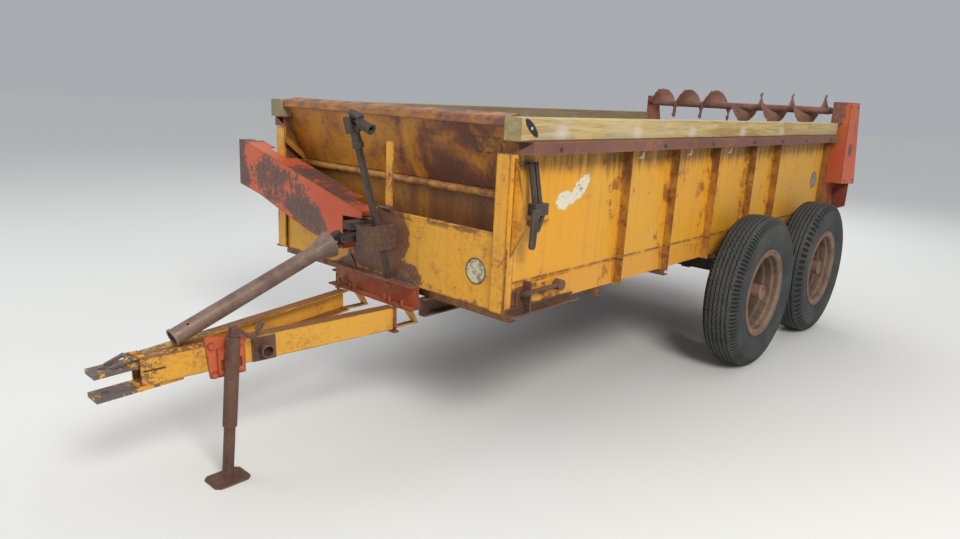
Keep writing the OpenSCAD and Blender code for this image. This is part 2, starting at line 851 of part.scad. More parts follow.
// Outline of the chain case, drawn in by its wall, with a lower edge that steps up to the right
module case_outline(wall) {
  far = -line_y - case_past + wall;
  corner = far + 45;
  low = box_z + wall;
  drop = -150;
  polygon([
    [case_end - wall, case_top(case_end) - 1.2 * wall], [corner, case_top(corner) - 1.2 * wall],
    [far + wall, case_top(corner) + 2 - 1.5 * wall], [far, low + 340],
    [-half_w - 56, low + 300], [-half_w + 174, low + 232], [-half_w + 454, low + 158],
    [drop - 0.5 * wall, low + 120], [drop + wall, low + 294], [case_end - 6 + 0.5 * wall, low + 300]
  ]);
}

// Strip of the case's sloping top between two places
module cover_plate(y_near, y_far, wall) {
  near = case_top(y_near);
  far = case_top(y_far);
  polygon([[y_near, near], [y_far, far], [y_far, far - wall], [y_near, near - wall]]);
}

module line_shaft() {
  z = box_z + line_z;
  color(steel) place() {
    bar_x(-lower_back + 120, 60, -line_y, z, line_d);
    bar_x(28, 52, -line_y, z, 120);
  }
}

// Bearing blocks of the line shaft, each behind an upright
module line_bearings() {
  z = box_z + line_z;
  wide = 60;
  seat = half_w + rib_t + seat_gap;
  behind = rib_t + seat_gap + wide;
  color(steel) place() for (i = [0, 2, 4]) translate([-rib_places[i] - behind, 0, 0]) difference() {
    block(0, -line_y - 38, z - 40, [wide, line_y + 38 - seat, 80]);
    bar_x(-10, wide + 10, -line_y, z, line_d + 2 * run_fit);
  }
}

// Gearbox that turns the lower beater from the line shaft
module rear_gearbox() {
  z = box_z + line_z;
  x = -lower_back;
  color(red) place() difference() {
    union() {
      block(x - 90, -line_y - 70, z - 105, [190, line_out + 39, 210]);
      bar_x(x + 99, x + 125, -line_y, z, 100);
      bar_y(x, -half_w - 40, -half_w - seat_gap, z, 120);
    }
    bar_x(x + 60, x + 140, -line_y, z, line_d + 2 * run_fit);
    bar_x(x + 20, x + 100, -line_y, z, line_d + 40);
    bar_y(x, -line_y + 40, -half_w + 10, z, 50.1);
  }
}

// Stadium-shaped loop of chain round the two shafts
module chain_loop(radius) {
  translate([-idler_back, apron_z]) circle(r = radius, $fn = 96);
  translate([-drive_back, apron_z]) circle(r = radius, $fn = 96);
  translate([-drive_back, apron_z - radius]) square([drive_back - idler_back, 2 * radius]);
}

// The two apron chains, a loop each, with a notch between the links
module apron_chains() {
  links = floor((drive_back - idler_back) / link_pitch);
  outer = sprocket_r + chain_t / 2;
  color(steel) place() both_sides() across(chain_y - chain_w / 2, chain_y + chain_w / 2) difference() {
    chain_loop(outer);
    chain_loop(outer - chain_t);
    for (i = [0 : links - 1], z = [apron_z + outer - 4, apron_z - outer - 1])
      translate([-idler_back - (i + 0.5) * link_pitch, z]) square([14, 5]);
  }
}

// Angle-section slat between the chains, standing up or hanging down
module slat(x, z, way) {
  t = 5;
  reach = chain_y - chain_w / 2;
  half = slat_foot / 2;
  translate([x, 0, z]) across(-reach, reach) polygon([
    [-half, 0], [half, 0], [half, way * t], [-half + t, way * t],
    [-half + t, way * slat_h], [-half, way * slat_h]
  ]);
}

module apron_slats() {
  run = drive_back - idler_back;
  step = run / slat_n;
  color(brown) place() for (i = [0 : slat_n - 1]) {
    slat(-idler_back - (i + 0.5) * step, floor_z + 0.3, 1);
    slat(-idler_back - (i + 0.5) * step, apron_z - sprocket_r + chain_t / 2, -1);
  }
}

module apron_shafts() {
  reach = half_w - 14;
  color(steel) place() {
    for (back = [idler_back, drive_back]) {
      bar_y(-back, -reach, reach, apron_z, apron_shaft_d);
      both_sides() bar_y(-back, chain_y - 9, chain_y + 9, apron_z, 2 * sprocket_r - chain_t);
    }
  }
}

// Angle foot, upright plate, threaded rod and eye at each front corner
module take_up() {
  out = half_w + 4 + touch;
  low = box_z - 12;
  long = idler_back + 140;
  foot = 46;
  plate = 8;
  stop = -126;
  rod_z = apron_z - 4;
  rod_y = out + 22;
  nut = 15;
  block(-long, out, low, [long, foot, plate]);
  block(-long, out, low, [long, 6, 32]);
  block(stop, out, low + 6, [plate, foot - 2, 140]);
  bar_x(-idler_back + 15, stop + 36, rod_y, rod_z, 20);
  for (x = [stop + plate, stop - nut]) bar_x(x, x + nut, rod_y, rod_z, 34);
  bar_y(-idler_back, out, out + 40, rod_z, 52);
}

module take_ups() { color(brown) place() both_sides() take_up(); }

// Plates behind the sides that carry both beaters
module bearing_plate() {
  y_out = half_w - 2 * sheet_t;
  low = box_z + floor_top + 8;
  high = box_z + upper_z + 60;
  difference() {
    across(y_out - plate_t, y_out) polygon([
      [-side_len + 60, low], [-lower_back - 120, low], [-lower_back - 150, box_z + lower_z + 120],
      [-upper_back - 130, high], [-upper_back + 70, high], [-upper_back + 70, high - 240],
      [-side_len - 20, rail_z + 6], [-side_len + 60, rail_z + 6]
    ]);
    bar_y(-upper_back, half_w - 60, half_w + 20, box_z + upper_z, 50.1);
    bar_y(-lower_back, half_w - 60, half_w + 20, box_z + lower_z, 50.1);
  }
}

module bearing_plates() { color(red) place() both_sides() bearing_plate(); }

// Helical blade as a ribbon round the Y axis; hand is 1 or -1
module flight(y_start, turns, pitch, r_in, r_out, hand, phase) {
  t = 6;
  step = 20;
  n = floor(turns * 360 / step);
  ring = [[r_in, 0], [r_out, 0], [r_out, t], [r_in, t]];
  function angle(i) = phase + hand * i * step;
  points = [
    for (i = [0 : n], c = ring)
      [c[0] * cos(angle(i)), y_start + pitch * i * step / 360 + c[1], c[0] * sin(angle(i))]
  ];
  near = [for (i = [0 : n - 1], k = [0 : 3]) [4 * i + k, 4 * i + (k + 1) % 4, 4 * i + (k + 1) % 4 + 4]];
  far = [for (i = [0 : n - 1], k = [0 : 3]) [4 * i + k, 4 * i + (k + 1) % 4 + 4, 4 * i + k + 4]];
  ends = [[2, 1, 0], [3, 2, 0], [4 * n, 4 * n + 1, 4 * n + 2], [4 * n, 4 * n + 2, 4 * n + 3]];
  faces = concat(near, far, ends);
  polyhedron(points, hand < 0 ? faces : [for (f = faces) [f[2], f[1], f[0]]]);
}

// Beater: tube, journals, two flights of opposite hand and the knives on their edges
module beater(reach, tube_d, radius, pitch) {
  turns = (reach - 30) / pitch;
  starts = [[-reach + 10, 1], [20, -1]];
  bar_y(0, -reach, reach, 0, tube_d);
  both_sides() bar_y(0, reach - 1, half_w + 6, 0, 50);
  for (start = starts) {
    flight(start[0], turns, pitch, tube_d / 2 - 3, radius, start[1], 0);
    for (turn = [60 : 120 : turns * 360 - 20])
      rotate([0, -start[1] * turn, 0])
        block(radius - 20, start[0] + pitch * turn / 360 - 1, -knife_w / 2, [20 + knife_out, 8, knife_w]);
  }
}

module upper_beater() {
  color(brown) place() translate([-upper_back, 0, box_z + upper_z])
    beater(half_w - 54, upper_d, upper_r, upper_pitch);
}

module lower_beater() {
  color(brown) place() translate([-lower_back, 0, box_z + lower_z])
    beater(half_w - 26, lower_d, lower_r, lower_pitch);
}

// Sheet cover over the chain that joins the beaters, with its lower guard
module chain_cover() {
  y_in = half_w - 2 * sheet_t + seat_gap;
  y_out = half_w + cover_out;
  t = 4;
  guard = 120;
  guard_z = box_z + floor_top + 9;
  rear = lower_back + 130;
  color(red) place() {
    difference() {
      across(y_in, y_out) cover_outline(0);
      across(y_in - 1, y_out - t) cover_outline(t);
    }
    block(-rear, y_in, guard_z, [rear - side_len - rib_leg - 3, guard, 6]);
    block(-rear, y_in, guard_z, [6, guard, lower_z - 110 - floor_top]);
  }
}

// Outline of the chain cover, drawn in by its wall
module cover_outline(t) {
  top = box_z + upper_z + 72 - t;
  low = box_z + lower_z - 110 + 1.25 * t;
  polygon([
    [-upper_back + 105 - 1.25 * t, top], [-upper_back - 135 + t, top],
    [-lower_back - 220 + 1.5 * t, low], [-lower_back + 150 - t, low + 20 - 0.25 * t]
  ]);
}

// Rocking beam with a spindle at each end
module walking_beam() {
  y_in = half_w - 30;
  r = 52;
  translate([-tandem_back, 0, axle_z]) {
    difference() {
      union() {
        across(y_in - beam_w / 2, y_in + beam_w / 2) polygon([
          [-tandem / 2, r], [-90, beam_h / 2], [90, beam_h / 2], [tandem / 2, r],
          [tandem / 2, -r], [90, -beam_h / 2], [-90, -beam_h / 2], [-tandem / 2, -r]
        ]);
        for (s = [-1, 1]) {
          bar_y(s * tandem / 2, y_in - beam_w / 2, y_in + beam_w / 2, 0, 2 * r);
          bar_y(s * tandem / 2, y_in, half_w + 210, 0, spindle_d);
        }
      }
      bar_y(0, y_in - beam_w, y_in + beam_w, 0, 76.2);
    }
  }
}

module walking_beams() { color(steel) place() both_sides() walking_beam(); }

module cross_axle() {
  y_in = half_w - 30 - beam_w / 2;
  size = 100;
  color(steel) place() translate([-tandem_back, 0, axle_z]) {
    block(-size / 2, -y_in + 4, -size / 2, [size, 2 * y_in - 8, size]);
    both_sides() {
      bar_y(0, y_in - 5, half_w + 16, 0, 76);
      for (s = [-1, 1])
        block(s * 60 - 5, sill_y - 10, -size / 2, [10, sill_w + 20, sill_z - axle_z + size / 2]);
      block(-60, sill_y - 10, -size / 2 - 8, [120, sill_w + 20, 8]);
    }
  }
}

// Rim in three steps, deep disc and long hub in one outline, axis along Y, zero at the tyre's middle
module wheel() {
  hub_in = half_w + 20 - tyre_mid;
  hub_r = hub_d / 2;
  flange = rim_d / 2;
  inner = bead_r - 8;
  rotate([-90, 0, 0]) rotate_extrude($fn = 128) polygon([
    [0, hub_in], [70, hub_in], [70, hub_in + 16], [58, hub_in + 34], [hub_r + 6, -100], [112, -96],
    [150, -91], [200, -94], [inner, -94], [bead_r - 4, -99], [flange - 12, -101], [flange, -100],
    [flange, -92], [bead_r + 2, -90], [bead_r, -84], [bead_r, 84], [bead_r + 2, 90], [flange, 92],
    [flange, 100], [flange - 12, 101], [bead_r - 2, 96], [inner, 86], [inner, 58], [inner - 9, 48],
    [inner - 9, 2], [inner - 17, -8], [inner - 17, -82], [200, -84], [150, -80], [112, -86],
    [hub_r, -88], [hub_r, 46], [hub_r - 6, 50], [27, 52], [27, 76], [22, 80], [0, 80]
  ]);
}

// Tyre in one outline, axis along Y, zero at its middle
module tyre() {
  r = tyre_d / 2;
  w = tyre_w / 2;
  lip = rim_d / 2;
  rotate([-90, 0, 0]) rotate_extrude($fn = 128) polygon([
    [bead_r, -82], [bead_r, 82], [lip - 1, 89], [lip + 8, 96], [330, 108], [370, w - 2], [410, w],
    [445, w - 6], [r - 22, w - 20], [r - 6, w - 40], [r, 40], [r, -40], [r - 6, -w + 40], [r - 22, -w + 20],
    [445, -w + 6], [410, -w], [370, -w + 2], [330, -108], [lip + 8, -96], [lip - 1, -89]
  ]);
}

module wheel_place(front, left) {
  place() translate([-tandem_back + front * tandem / 2, left * tyre_mid, axle_z])
    mirror([0, left < 0 ? 1 : 0, 0]) children();
}

// Wheel with the bore for its spindle and the disc's hand holes
module bored_wheel() {
  difference() {
    wheel();
    bar_y(0, half_w - tyre_mid, half_w + 210.5 - tyre_mid, 0, spindle_d + 2 * run_fit);
    for (turn = [0 : 72 : 288]) rotate([0, turn, 0]) bar_y(hand_r, -110, -70, 0, hand_d);
  }
}

module wheel_front_left() { color(yellow) wheel_place(1, 1) bored_wheel(); }
module wheel_rear_left() { color(yellow) wheel_place(-1, 1) bored_wheel(); }
module wheel_front_right() { color(yellow) wheel_place(1, -1) bored_wheel(); }
module wheel_rear_right() { color(yellow) wheel_place(-1, -1) bored_wheel(); }
module tyre_front_left() { color(rubber) wheel_place(1, 1) tyre(); }
module tyre_rear_left() { color(rubber) wheel_place(-1, 1) tyre(); }
module tyre_front_right() { color(rubber) wheel_place(1, -1) tyre(); }
module tyre_rear_right() { color(rubber) wheel_place(-1, -1) tyre(); }

// Pin, two hanging bars, clamp and handle beside the left corner post
module side_latch() {
  z = box_z + 648;
  y = half_w + 18;
  color(steel) place() {
    bar_x(-145, -22 - seat_gap, y, z, 14);
    along(-107, -83) latch_arm(y, z);
    along(-141, -121) latch_arm(y, z);
    block(-148, y + 28, box_z + 440, [88, 44, 50]);
    across(y + 52, y + 64) polygon([
      [-141, box_z + 445], [-121, box_z + 445], [-90, box_z + 376], [-104, box_z + 366]
    ]);
    across(y + 64, y + 78) latch_handle();
  }
}

// Flat bar that hangs from the pin and leans outwards, drawn in Y and Z
module latch_arm(y, z) {
  polygon([[y - 5, z + 12], [y + 6, z + 12], [y + 46, z - 180], [y + 35, z - 180]]);
}

// Handle with a round end, drawn in X and Z
module latch_handle() {
  polygon([[-80, box_z + 470], [-40, box_z + 470], [-33, box_z + 315], [-67, box_z + 315]]);
  translate([-50, box_z + 315]) circle(d = 34, $fn = 48);
}

side_left();
side_right();
rails();
timbers();
headboard();
front_panel();
posts();
floor();
sills();
cross_members();
tongue_left();
tongue_right();
hitch_clevis();
bolster();
jack_bracket();
jack_tube();
jack_leg();
jack_storage();
stored_shaft();
input_shaft();
pto_yoke();
pto_tube();
chain_case();
line_shaft();
line_bearings();
rear_gearbox();
apron_chains();
apron_slats();
apron_shafts();
take_ups();
bearing_plates();
upper_beater();
lower_beater();
chain_cover();
walking_beams();
cross_axle();
wheel_front_left();
wheel_rear_left();
wheel_front_right();
wheel_rear_right();
tyre_front_left();
tyre_rear_left();
tyre_front_right();
tyre_rear_right();
side_latch();
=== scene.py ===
# Tandem-axle manure spreader: looks, small parts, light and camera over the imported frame.
import math
import random
from collections import namedtuple

import bmesh
import bpy
from mathutils import Matrix, Vector
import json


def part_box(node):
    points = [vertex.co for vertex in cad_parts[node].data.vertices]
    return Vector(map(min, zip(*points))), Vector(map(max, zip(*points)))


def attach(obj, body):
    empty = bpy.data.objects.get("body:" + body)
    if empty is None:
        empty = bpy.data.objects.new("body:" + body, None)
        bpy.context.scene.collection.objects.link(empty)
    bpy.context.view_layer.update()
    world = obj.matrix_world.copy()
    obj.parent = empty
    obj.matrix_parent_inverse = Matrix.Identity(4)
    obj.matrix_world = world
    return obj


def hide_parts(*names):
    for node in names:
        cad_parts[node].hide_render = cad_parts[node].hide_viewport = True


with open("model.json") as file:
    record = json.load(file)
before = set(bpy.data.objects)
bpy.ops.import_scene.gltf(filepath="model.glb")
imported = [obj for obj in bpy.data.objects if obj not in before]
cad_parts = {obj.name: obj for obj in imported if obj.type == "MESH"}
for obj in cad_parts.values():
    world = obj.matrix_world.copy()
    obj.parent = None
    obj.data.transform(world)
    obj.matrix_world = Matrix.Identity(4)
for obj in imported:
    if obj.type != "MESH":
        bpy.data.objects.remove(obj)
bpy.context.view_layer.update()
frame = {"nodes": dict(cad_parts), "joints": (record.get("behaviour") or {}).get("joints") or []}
NODES = frame["nodes"]

# Hinge places by the body that turns, in metres; a wheel's hinge is its middle
PIVOTS = {joint["child"]: joint["pos_m"] for joint in frame["joints"] if "pos_m" in joint}
WHEELS = {body: middle for body, middle in PIVOTS.items() if body.endswith("_wheel")}
AXLES = (WHEELS["front_left_wheel"][0], WHEELS["rear_left_wheel"][0])
TYRE_MID = WHEELS["front_left_wheel"][1]
TYRE_R = WHEELS["front_left_wheel"][2]

# Heights of the box's underside, the sheets' upper edge and the rails' top
BOX_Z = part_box("side_left")[0].z
RAIL_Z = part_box("side_left")[1].z
RAIL_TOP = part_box("rails")[1].z

# The box's front plane lies at x = MID, so what is `back` behind it lies at x = MID - back
MID = 1.590
# Outer face of a side sheet, and where the uprights stand on it
HALF_W = 0.874
RIB_BACKS = (0.872, 1.376, 1.895, 2.465, 2.900)

# Tyre tread: how crown and shoulder fall with y squared, the grooves' places and section, the tread's edge
CROWN_FALL = 0.9
SHOULDER_FALL = 45.0
GROOVES = (-0.056, -0.028, 0.0, 0.028, 0.056)
GROOVE_HALF = 0.0040
GROOVE_DEPTH = 0.0075
ZIGZAG = 0.0042
TREAD_EDGE = (0.0745, 0.4945)
# Shoulder as (y, radius, share of the cut between lugs), then the sidewall down to the bead as (y, radius)
SHOULDER = (
    (0.0790, 0.4935, 0.45), (0.0900, 0.4860, 0.85), (0.0985, 0.4760, 1.0),
    (0.1050, 0.4640, 0.85), (0.1090, 0.4530, 0.35),
)
SIDEWALL = (
    (0.1120, 0.446), (0.1140, 0.436), (0.1160, 0.427), (0.1170, 0.420), (0.1175, 0.410), (0.1172, 0.402),
    (0.1155, 0.398), (0.1158, 0.390), (0.1155, 0.372), (0.1120, 0.348), (0.1085, 0.332), (0.1060, 0.328),
    (0.1045, 0.322), (0.0990, 0.304), (0.0965, 0.299), (0.0955, 0.293), (0.0900, 0.2885), (0.0850, 0.2700),
    (0.0820, 0.2545),
)
# Each axle's tread: number of lugs, number of zigzag waves, depth between the lugs
TREADS = {"front": (112, 84, 0.0150), "rear": (68, 102, 0.0180)}

# Paint, bare metal, wood and rust
YELLOW = (0.700, 0.318, 0.016)
YELLOW_FADED = (0.655, 0.335, 0.036)
# Headboard yellows: the sides' yellow made darker as painted half-shade
HEAD_YELLOW_IN_SHADE = (0.60, 0.270, 0.016)
HEAD_FADED_IN_SHADE = (0.50, 0.21, 0.020)
# Cross members under the floor: rust and dirt, with painted shade of the box's underside
UNDER_RUST_AND_SHADE = (0.200, 0.095, 0.022)
UNDER_RUST_AND_SHADE_FADED = (0.120, 0.060, 0.024)
RED = (0.530, 0.072, 0.022)
RED_FADED = (0.580, 0.110, 0.045)
PLATE_RED = (0.40, 0.075, 0.035)
PLATE_FADED = (0.30, 0.095, 0.060)
DARK_RED = (0.230, 0.036, 0.018)
DARK_RED_FADED = (0.36, 0.06, 0.028)
HITCH_IRON = (0.075, 0.062, 0.058)
HITCH_FADED = (0.12, 0.095, 0.085)
RAIL_BROWN = (0.150, 0.058, 0.042)
RAIL_FADED = (0.19, 0.082, 0.055)
AUGER = (0.285, 0.135, 0.098)
AUGER_RUBBED = (0.43, 0.25, 0.185)
STEEL = (0.15, 0.075, 0.048)
STEEL_RUBBED = (0.27, 0.16, 0.11)
SHAFT = (0.215, 0.135, 0.105)
SHAFT_RUBBED = (0.40, 0.29, 0.22)
DARK_STEEL = (0.090, 0.068, 0.056)
DARK_STEEL_RUBBED = (0.20, 0.155, 0.13)
CAST_IRON = (0.075, 0.058, 0.05)
CAST_IRON_RUBBED = (0.15, 0.12, 0.10)
TIMBER_PALE = (0.56, 0.44, 0.215)
TIMBER_DARK = (0.40, 0.27, 0.10)
TIMBER_GREY = (0.42, 0.40, 0.30)
BOARD_PALE = (0.21, 0.13, 0.07)
BOARD_DARK = (0.13, 0.075, 0.04)
BOARD_GREY = (0.16, 0.13, 0.10)
WOOD_CRACK = (0.07, 0.05, 0.03)
RUST_DARK = (0.085, 0.035, 0.020)
RUST_MID = (0.21, 0.075, 0.030)
RUST_LIGHT = (0.38, 0.15, 0.045)
RUST_HALO = (0.42, 0.17, 0.035)
RUN_OFF = (0.33, 0.13, 0.03)
DISC_RIM = (0.05, 0.045, 0.035)


# Node materials
class Tree:
    """Small helper that adds shader nodes to one material; x, y and z are the point's place."""

    def __init__(self, name):
        self.mat = bpy.data.materials.new(name)
        self.mat.use_nodes = True
        self.nodes = self.mat.node_tree.nodes
        self.links = self.mat.node_tree.links
        self.nodes.clear()
        out = self.nodes.new("ShaderNodeOutputMaterial")
        self.shader = self.nodes.new("ShaderNodeBsdfPrincipled")
        self.links.new(self.shader.outputs[0], out.inputs[0])
        self.coord = self.nodes.new("ShaderNodeTexCoord").outputs["Object"]
        self.x, self.y, self.z = self.parts(self.coord)

    def link(self, value, socket):
        if isinstance(value, bpy.types.NodeSocket):
            self.links.new(value, socket)
        elif isinstance(value, (tuple, list)) and len(value) == 3 and socket.type == "RGBA":
            socket.default_value = (*value, 1.0)
        else:
            socket.default_value = value

    def parts(self, vector):
        n = self.nodes.new("ShaderNodeSeparateXYZ")
        self.link(vector, n.inputs[0])
        return n.outputs[0], n.outputs[1], n.outputs[2]

    def scaled(self, factors, turn=(0, 0, 0)):
        n = self.nodes.new("ShaderNodeMapping")
        self.link(self.coord, n.inputs["Vector"])
        n.inputs["Scale"].default_value = factors
        n.inputs["Rotation"].default_value = turn
        return n.outputs[0]

    def noise(self, scale, detail=4.0, rough=0.55, vector=None, distortion=0.0):
        n = self.nodes.new("ShaderNodeTexNoise")
        self.link(vector or self.coord, n.inputs["Vector"])
        n.inputs["Scale"].default_value = scale
        n.inputs["Detail"].default_value = detail
        n.inputs["Roughness"].default_value = rough
        n.inputs["Distortion"].default_value = distortion
        return n.outputs["Fac"]

    def math(self, kind, a, b=0.0):
        n = self.nodes.new("ShaderNodeMath")
        n.operation = kind
        self.link(a, n.inputs[0])
        self.link(b, n.inputs[1])
        return n.outputs[0]

    def chain(self, kind, values):
        first, *rest = values
        for value in rest:
            first = self.math(kind, first, value)
        return first

    def add(self, *values):
        return self.chain("ADD", values)

    def mul(self, *values):
        return self.chain("MULTIPLY", values)

    def most(self, *values):
        return self.chain("MAXIMUM", values)

    def least(self, *values):
        return self.chain("MINIMUM", values)

    def less(self, a, b):
        return self.math("SUBTRACT", a, b)

    def size(self, a):
        return self.math("ABSOLUTE", a)

    def length(self, a, b):
        return self.math("SQRT", self.add(self.mul(a, a), self.mul(b, b)))

    def step(self, value, low, high):
        """0 at low, 1 at high and smooth between; low may be the larger."""
        n = self.nodes.new("ShaderNodeMapRange")
        n.interpolation_type = "SMOOTHSTEP"
        self.link(value, n.inputs["Value"])
        n.inputs["From Min"].default_value = low
        n.inputs["From Max"].default_value = high
        return n.outputs["Result"]

    def band(self, value, low, high, soft):
        """1 between low and high, 0 outside, with soft edges."""
        return self.mul(self.step(value, low - soft, low + soft), self.step(value, high + soft, high - soft))

    def between(self, data_type, factor, a, b):
        n = self.nodes.new("ShaderNodeMix")
        n.data_type = data_type
        self.link(factor, n.inputs["Factor"])
        self.link(a, n.inputs["A"])
        self.link(b, n.inputs["B"])
        return n.outputs["Result"]

    def mix(self, factor, a, b):
        """Colour a at factor 0, colour b at factor 1."""
        return self.between("RGBA", factor, a, b)

    def blend(self, factor, a, b):
        """Number a at factor 0, number b at factor 1."""
        return self.between("FLOAT", factor, a, b)

    def true_normal(self):
        return self.nodes.new("ShaderNodeNewGeometry").outputs["True Normal"]

    def facing(self, axis):
        """How far the face looks along X, Y or Z."""
        return self.parts(self.true_normal())[axis]

    def edge(self, radius):
        """1 near a solid's edges, 0 on its flats."""
        bevel = self.nodes.new("ShaderNodeBevel")
        bevel.samples = 4
        bevel.inputs["Radius"].default_value = radius
        dot = self.nodes.new("ShaderNodeVectorMath")
        dot.operation = "DOT_PRODUCT"
        self.links.new(bevel.outputs[0], dot.inputs[0])
        self.links.new(self.true_normal(), dot.inputs[1])
        return self.step(dot.outputs["Value"], 0.995, 0.85)

    def bump(self, height, strength, distance):
        n = self.nodes.new("ShaderNodeBump")
        n.inputs["Strength"].default_value = strength
        n.inputs["Distance"].default_value = distance
        self.link(height, n.inputs["Height"])
        self.links.new(n.outputs[0], self.shader.inputs["Normal"])

    def finish(self, color, rough, metallic=0.0, specular=0.5):
        self.link(color, self.shader.inputs["Base Color"])
        self.link(rough, self.shader.inputs["Roughness"])
        self.shader.inputs["Metallic"].default_value = metallic
        self.shader.inputs["Specular IOR Level"].default_value = specular
        return self.mat


def shaded(tone, share):
    return tuple(share * v for v in tone)


def rust_color(t):
    """Dark and middle rust in patches, with light grains."""
    patches = t.noise(7.0, 5.0, 0.65)
    grain = t.noise(70.0, 3.0, 0.6)
    tone = t.mix(t.step(patches, 0.38, 0.62), RUST_DARK, RUST_MID)
    return t.mix(t.mul(t.step(grain, 0.52, 0.75), 0.7), tone, RUST_LIGHT)


def painted(name, base, faded, amount, streak, edge, gloss=0.42, marks=None):
    """Old paint with fading, run-off streaks, rust spots and worn edges; marks adds a piece's own wear and,
    on some pieces, painted shade.
    """
    t = Tree(name)
    large = t.noise(1.1, 4.0, 0.6)
    mid = t.noise(6.5, 8.0, 0.62)
    fine = t.noise(48.0, 6.0, 0.65)
    paint = t.mix(t.step(large, 0.36, 0.66), base, faded)
    paint = t.mix(t.mul(t.step(fine, 0.50, 0.72), 0.16), paint, shaded(base, 0.55))
    run = t.noise(1.0, 5.0, 0.6, t.scaled((26.0, 26.0, 1.1)))
    run_mask = t.mul(t.step(run, 0.52, 0.70), streak)
    paint = t.mix(t.mul(run_mask, 0.62), paint, RUN_OFF)
    worn = t.mul(t.edge(0.012), edge)
    level = t.add(t.mul(mid, 0.62), t.mul(fine, 0.38), t.mul(worn, 0.30), t.mul(run_mask, 0.06))
    rust_from = 0.74 - 0.22 * amount
    rust = t.step(level, rust_from - 0.035, rust_from + 0.045)
    halo = t.step(level, rust_from - 0.12, rust_from)
    paint = t.mix(t.mul(halo, 0.55), paint, RUST_HALO)
    if marks:
        paint, rust = marks(t, paint, rust)
    color = t.mix(rust, paint, rust_color(t))
    rough = t.blend(rust, t.blend(large, gloss, gloss + 0.14), 0.86)
    t.bump(t.add(t.mul(rust, fine), t.mul(mid, 0.25)), 0.35, 0.0016)
    return t.finish(color, rough)


def grained(t, scale, tone, dark, rubbed):
    """Patches of two tones with rubbed grains over them, and the bumps that go with these."""
    mid = t.noise(scale, 7.0, 0.62)
    fine = t.noise(85.0, 5.0, 0.65)
    t.bump(t.add(t.mul(fine, 0.7), t.mul(mid, 0.5)), 0.4, 0.0015)
    patches = t.mix(t.step(mid, 0.36, 0.66), tone, dark)
    return mid, fine, t.mix(t.mul(t.step(fine, 0.50, 0.74), 0.6), patches, rubbed)


def rusty(name, tint, light, gloss=0.62, metallic=0.25):
    """Bare steel gone brown, with paler rubbed places."""
    t = Tree(name)
    _, fine, c = grained(t, 9.0, tint, shaded(tint, 0.55), light)
    c = t.mix(t.mul(t.edge(0.006), 0.45), c, shaded(light, 1.25))
    return t.finish(c, t.blend(t.step(fine, 0.4, 0.7), gloss, 0.9), metallic)


def wheel_reach(t):
    """A point's distance from the nearest wheel's axis, and how far it lies out of that wheel's middle."""
    along = t.least(*(t.size(t.less(t.x, axle)) for axle in AXLES))
    return t.length(along, t.less(t.z, TYRE_R)), t.less(t.size(t.y), TYRE_MID)


# Rims: paint, rubbed grains, painted shade in the deep disc and the well, hubs, rust and bare edges
RIM_BROWN = (0.215, 0.135, 0.092)
RIM_DARK = (0.120, 0.066, 0.044)
RIM_RUBBED = (0.33, 0.24, 0.17)
# Painted shade in the deep disc and inside the rim's well
DISC_PAINTED_SHADE = (0.030, 0.022, 0.017)
WELL_PAINTED_SHADE = (0.055, 0.037, 0.028)
HUB_PALE = (0.25, 0.145, 0.10)
HUB_BROWN = (0.16, 0.085, 0.06)
RIM_RUST = (0.17, 0.065, 0.035)
RIM_BARE = (0.44, 0.33, 0.24)


def wheel_material():
    """Dirty brown rims with rubbed ring edges, painted shade in the deep disc and inside the well, and a
    paler hub.
    """
    t = Tree("wheel_paint")
    r, out = wheel_reach(t)
    mid, fine, c = grained(t, 11.0, RIM_BROWN, RIM_DARK, RIM_RUBBED)
    # Painted shade in the deep disc
    disc = t.mul(t.step(out, -0.055, -0.078), t.step(r, 0.236, 0.228))
    c = t.mix(t.mul(disc, 0.80), c, DISC_PAINTED_SHADE)
    # Painted shade inside the rim's well
    well = t.mul(t.step(out, 0.070, -0.050), t.step(r, 0.252, 0.246))
    c = t.mix(t.mul(well, 0.62), c, WELL_PAINTED_SHADE)
    hub = t.mul(t.step(r, 0.056, 0.051), t.step(out, -0.082, -0.070))
    hub_tone = t.mix(t.step(mid, 0.4, 0.6), HUB_PALE, HUB_BROWN)
    c = t.mix(t.mul(hub, 0.8), c, hub_tone)
    rim_edge = t.step(r, 0.276, 0.286)
    c = t.mix(t.mul(rim_edge, 0.6), c, RIM_RUST)
    c = t.mix(t.mul(t.edge(0.006), 0.55), c, RIM_BARE)
    return t.finish(c, t.blend(t.step(fine, 0.4, 0.7), 0.66, 0.9))


def patch(t, plane, middle, half, ragged, turn=0.0, soft=0.06):
    """A ragged oval in a plane of two coordinates, turned by some degrees."""
    da, db = t.less(plane[0], middle[0]), t.less(plane[1], middle[1])
    cos, sin = math.cos(math.radians(turn)), math.sin(math.radians(turn))
    u = t.add(t.mul(da, cos / half[0]), t.mul(db, sin / half[0]))
    v = t.add(t.mul(da, -sin / half[1]), t.mul(db, cos / half[1]))
    wobble = t.mul(t.less(t.noise(34.0, 5.0, 0.7), 0.5), ragged * 4)
    return t.step(t.add(t.length(u, v), wobble), 1.0 + soft, 1.0 - soft)


def patches(t, plane, spots):
    """Several ragged ovals as one mask; a spot holds what patch takes after the plane."""
    return t.most(*(patch(t, plane, *spot) for spot in spots))


def worn_disc(t, plane, disc, paint):
    """A round pale worn place with a dark rim; the disc holds its middle, radius and tone."""
    middle, r, tone = disc
    rim = patch(t, plane, middle, (r, r), 0.03)
    face = patch(t, plane, middle, (r * 0.88, r * 0.88), 0.04)
    stain = t.step(t.noise(38.0, 5.0, 0.65), 0.50, 0.60)
    pale = t.mix(stain, tone, shaded(tone, 0.42))
    return t.mix(face, t.mix(rim, paint, DISC_RIM), pale)
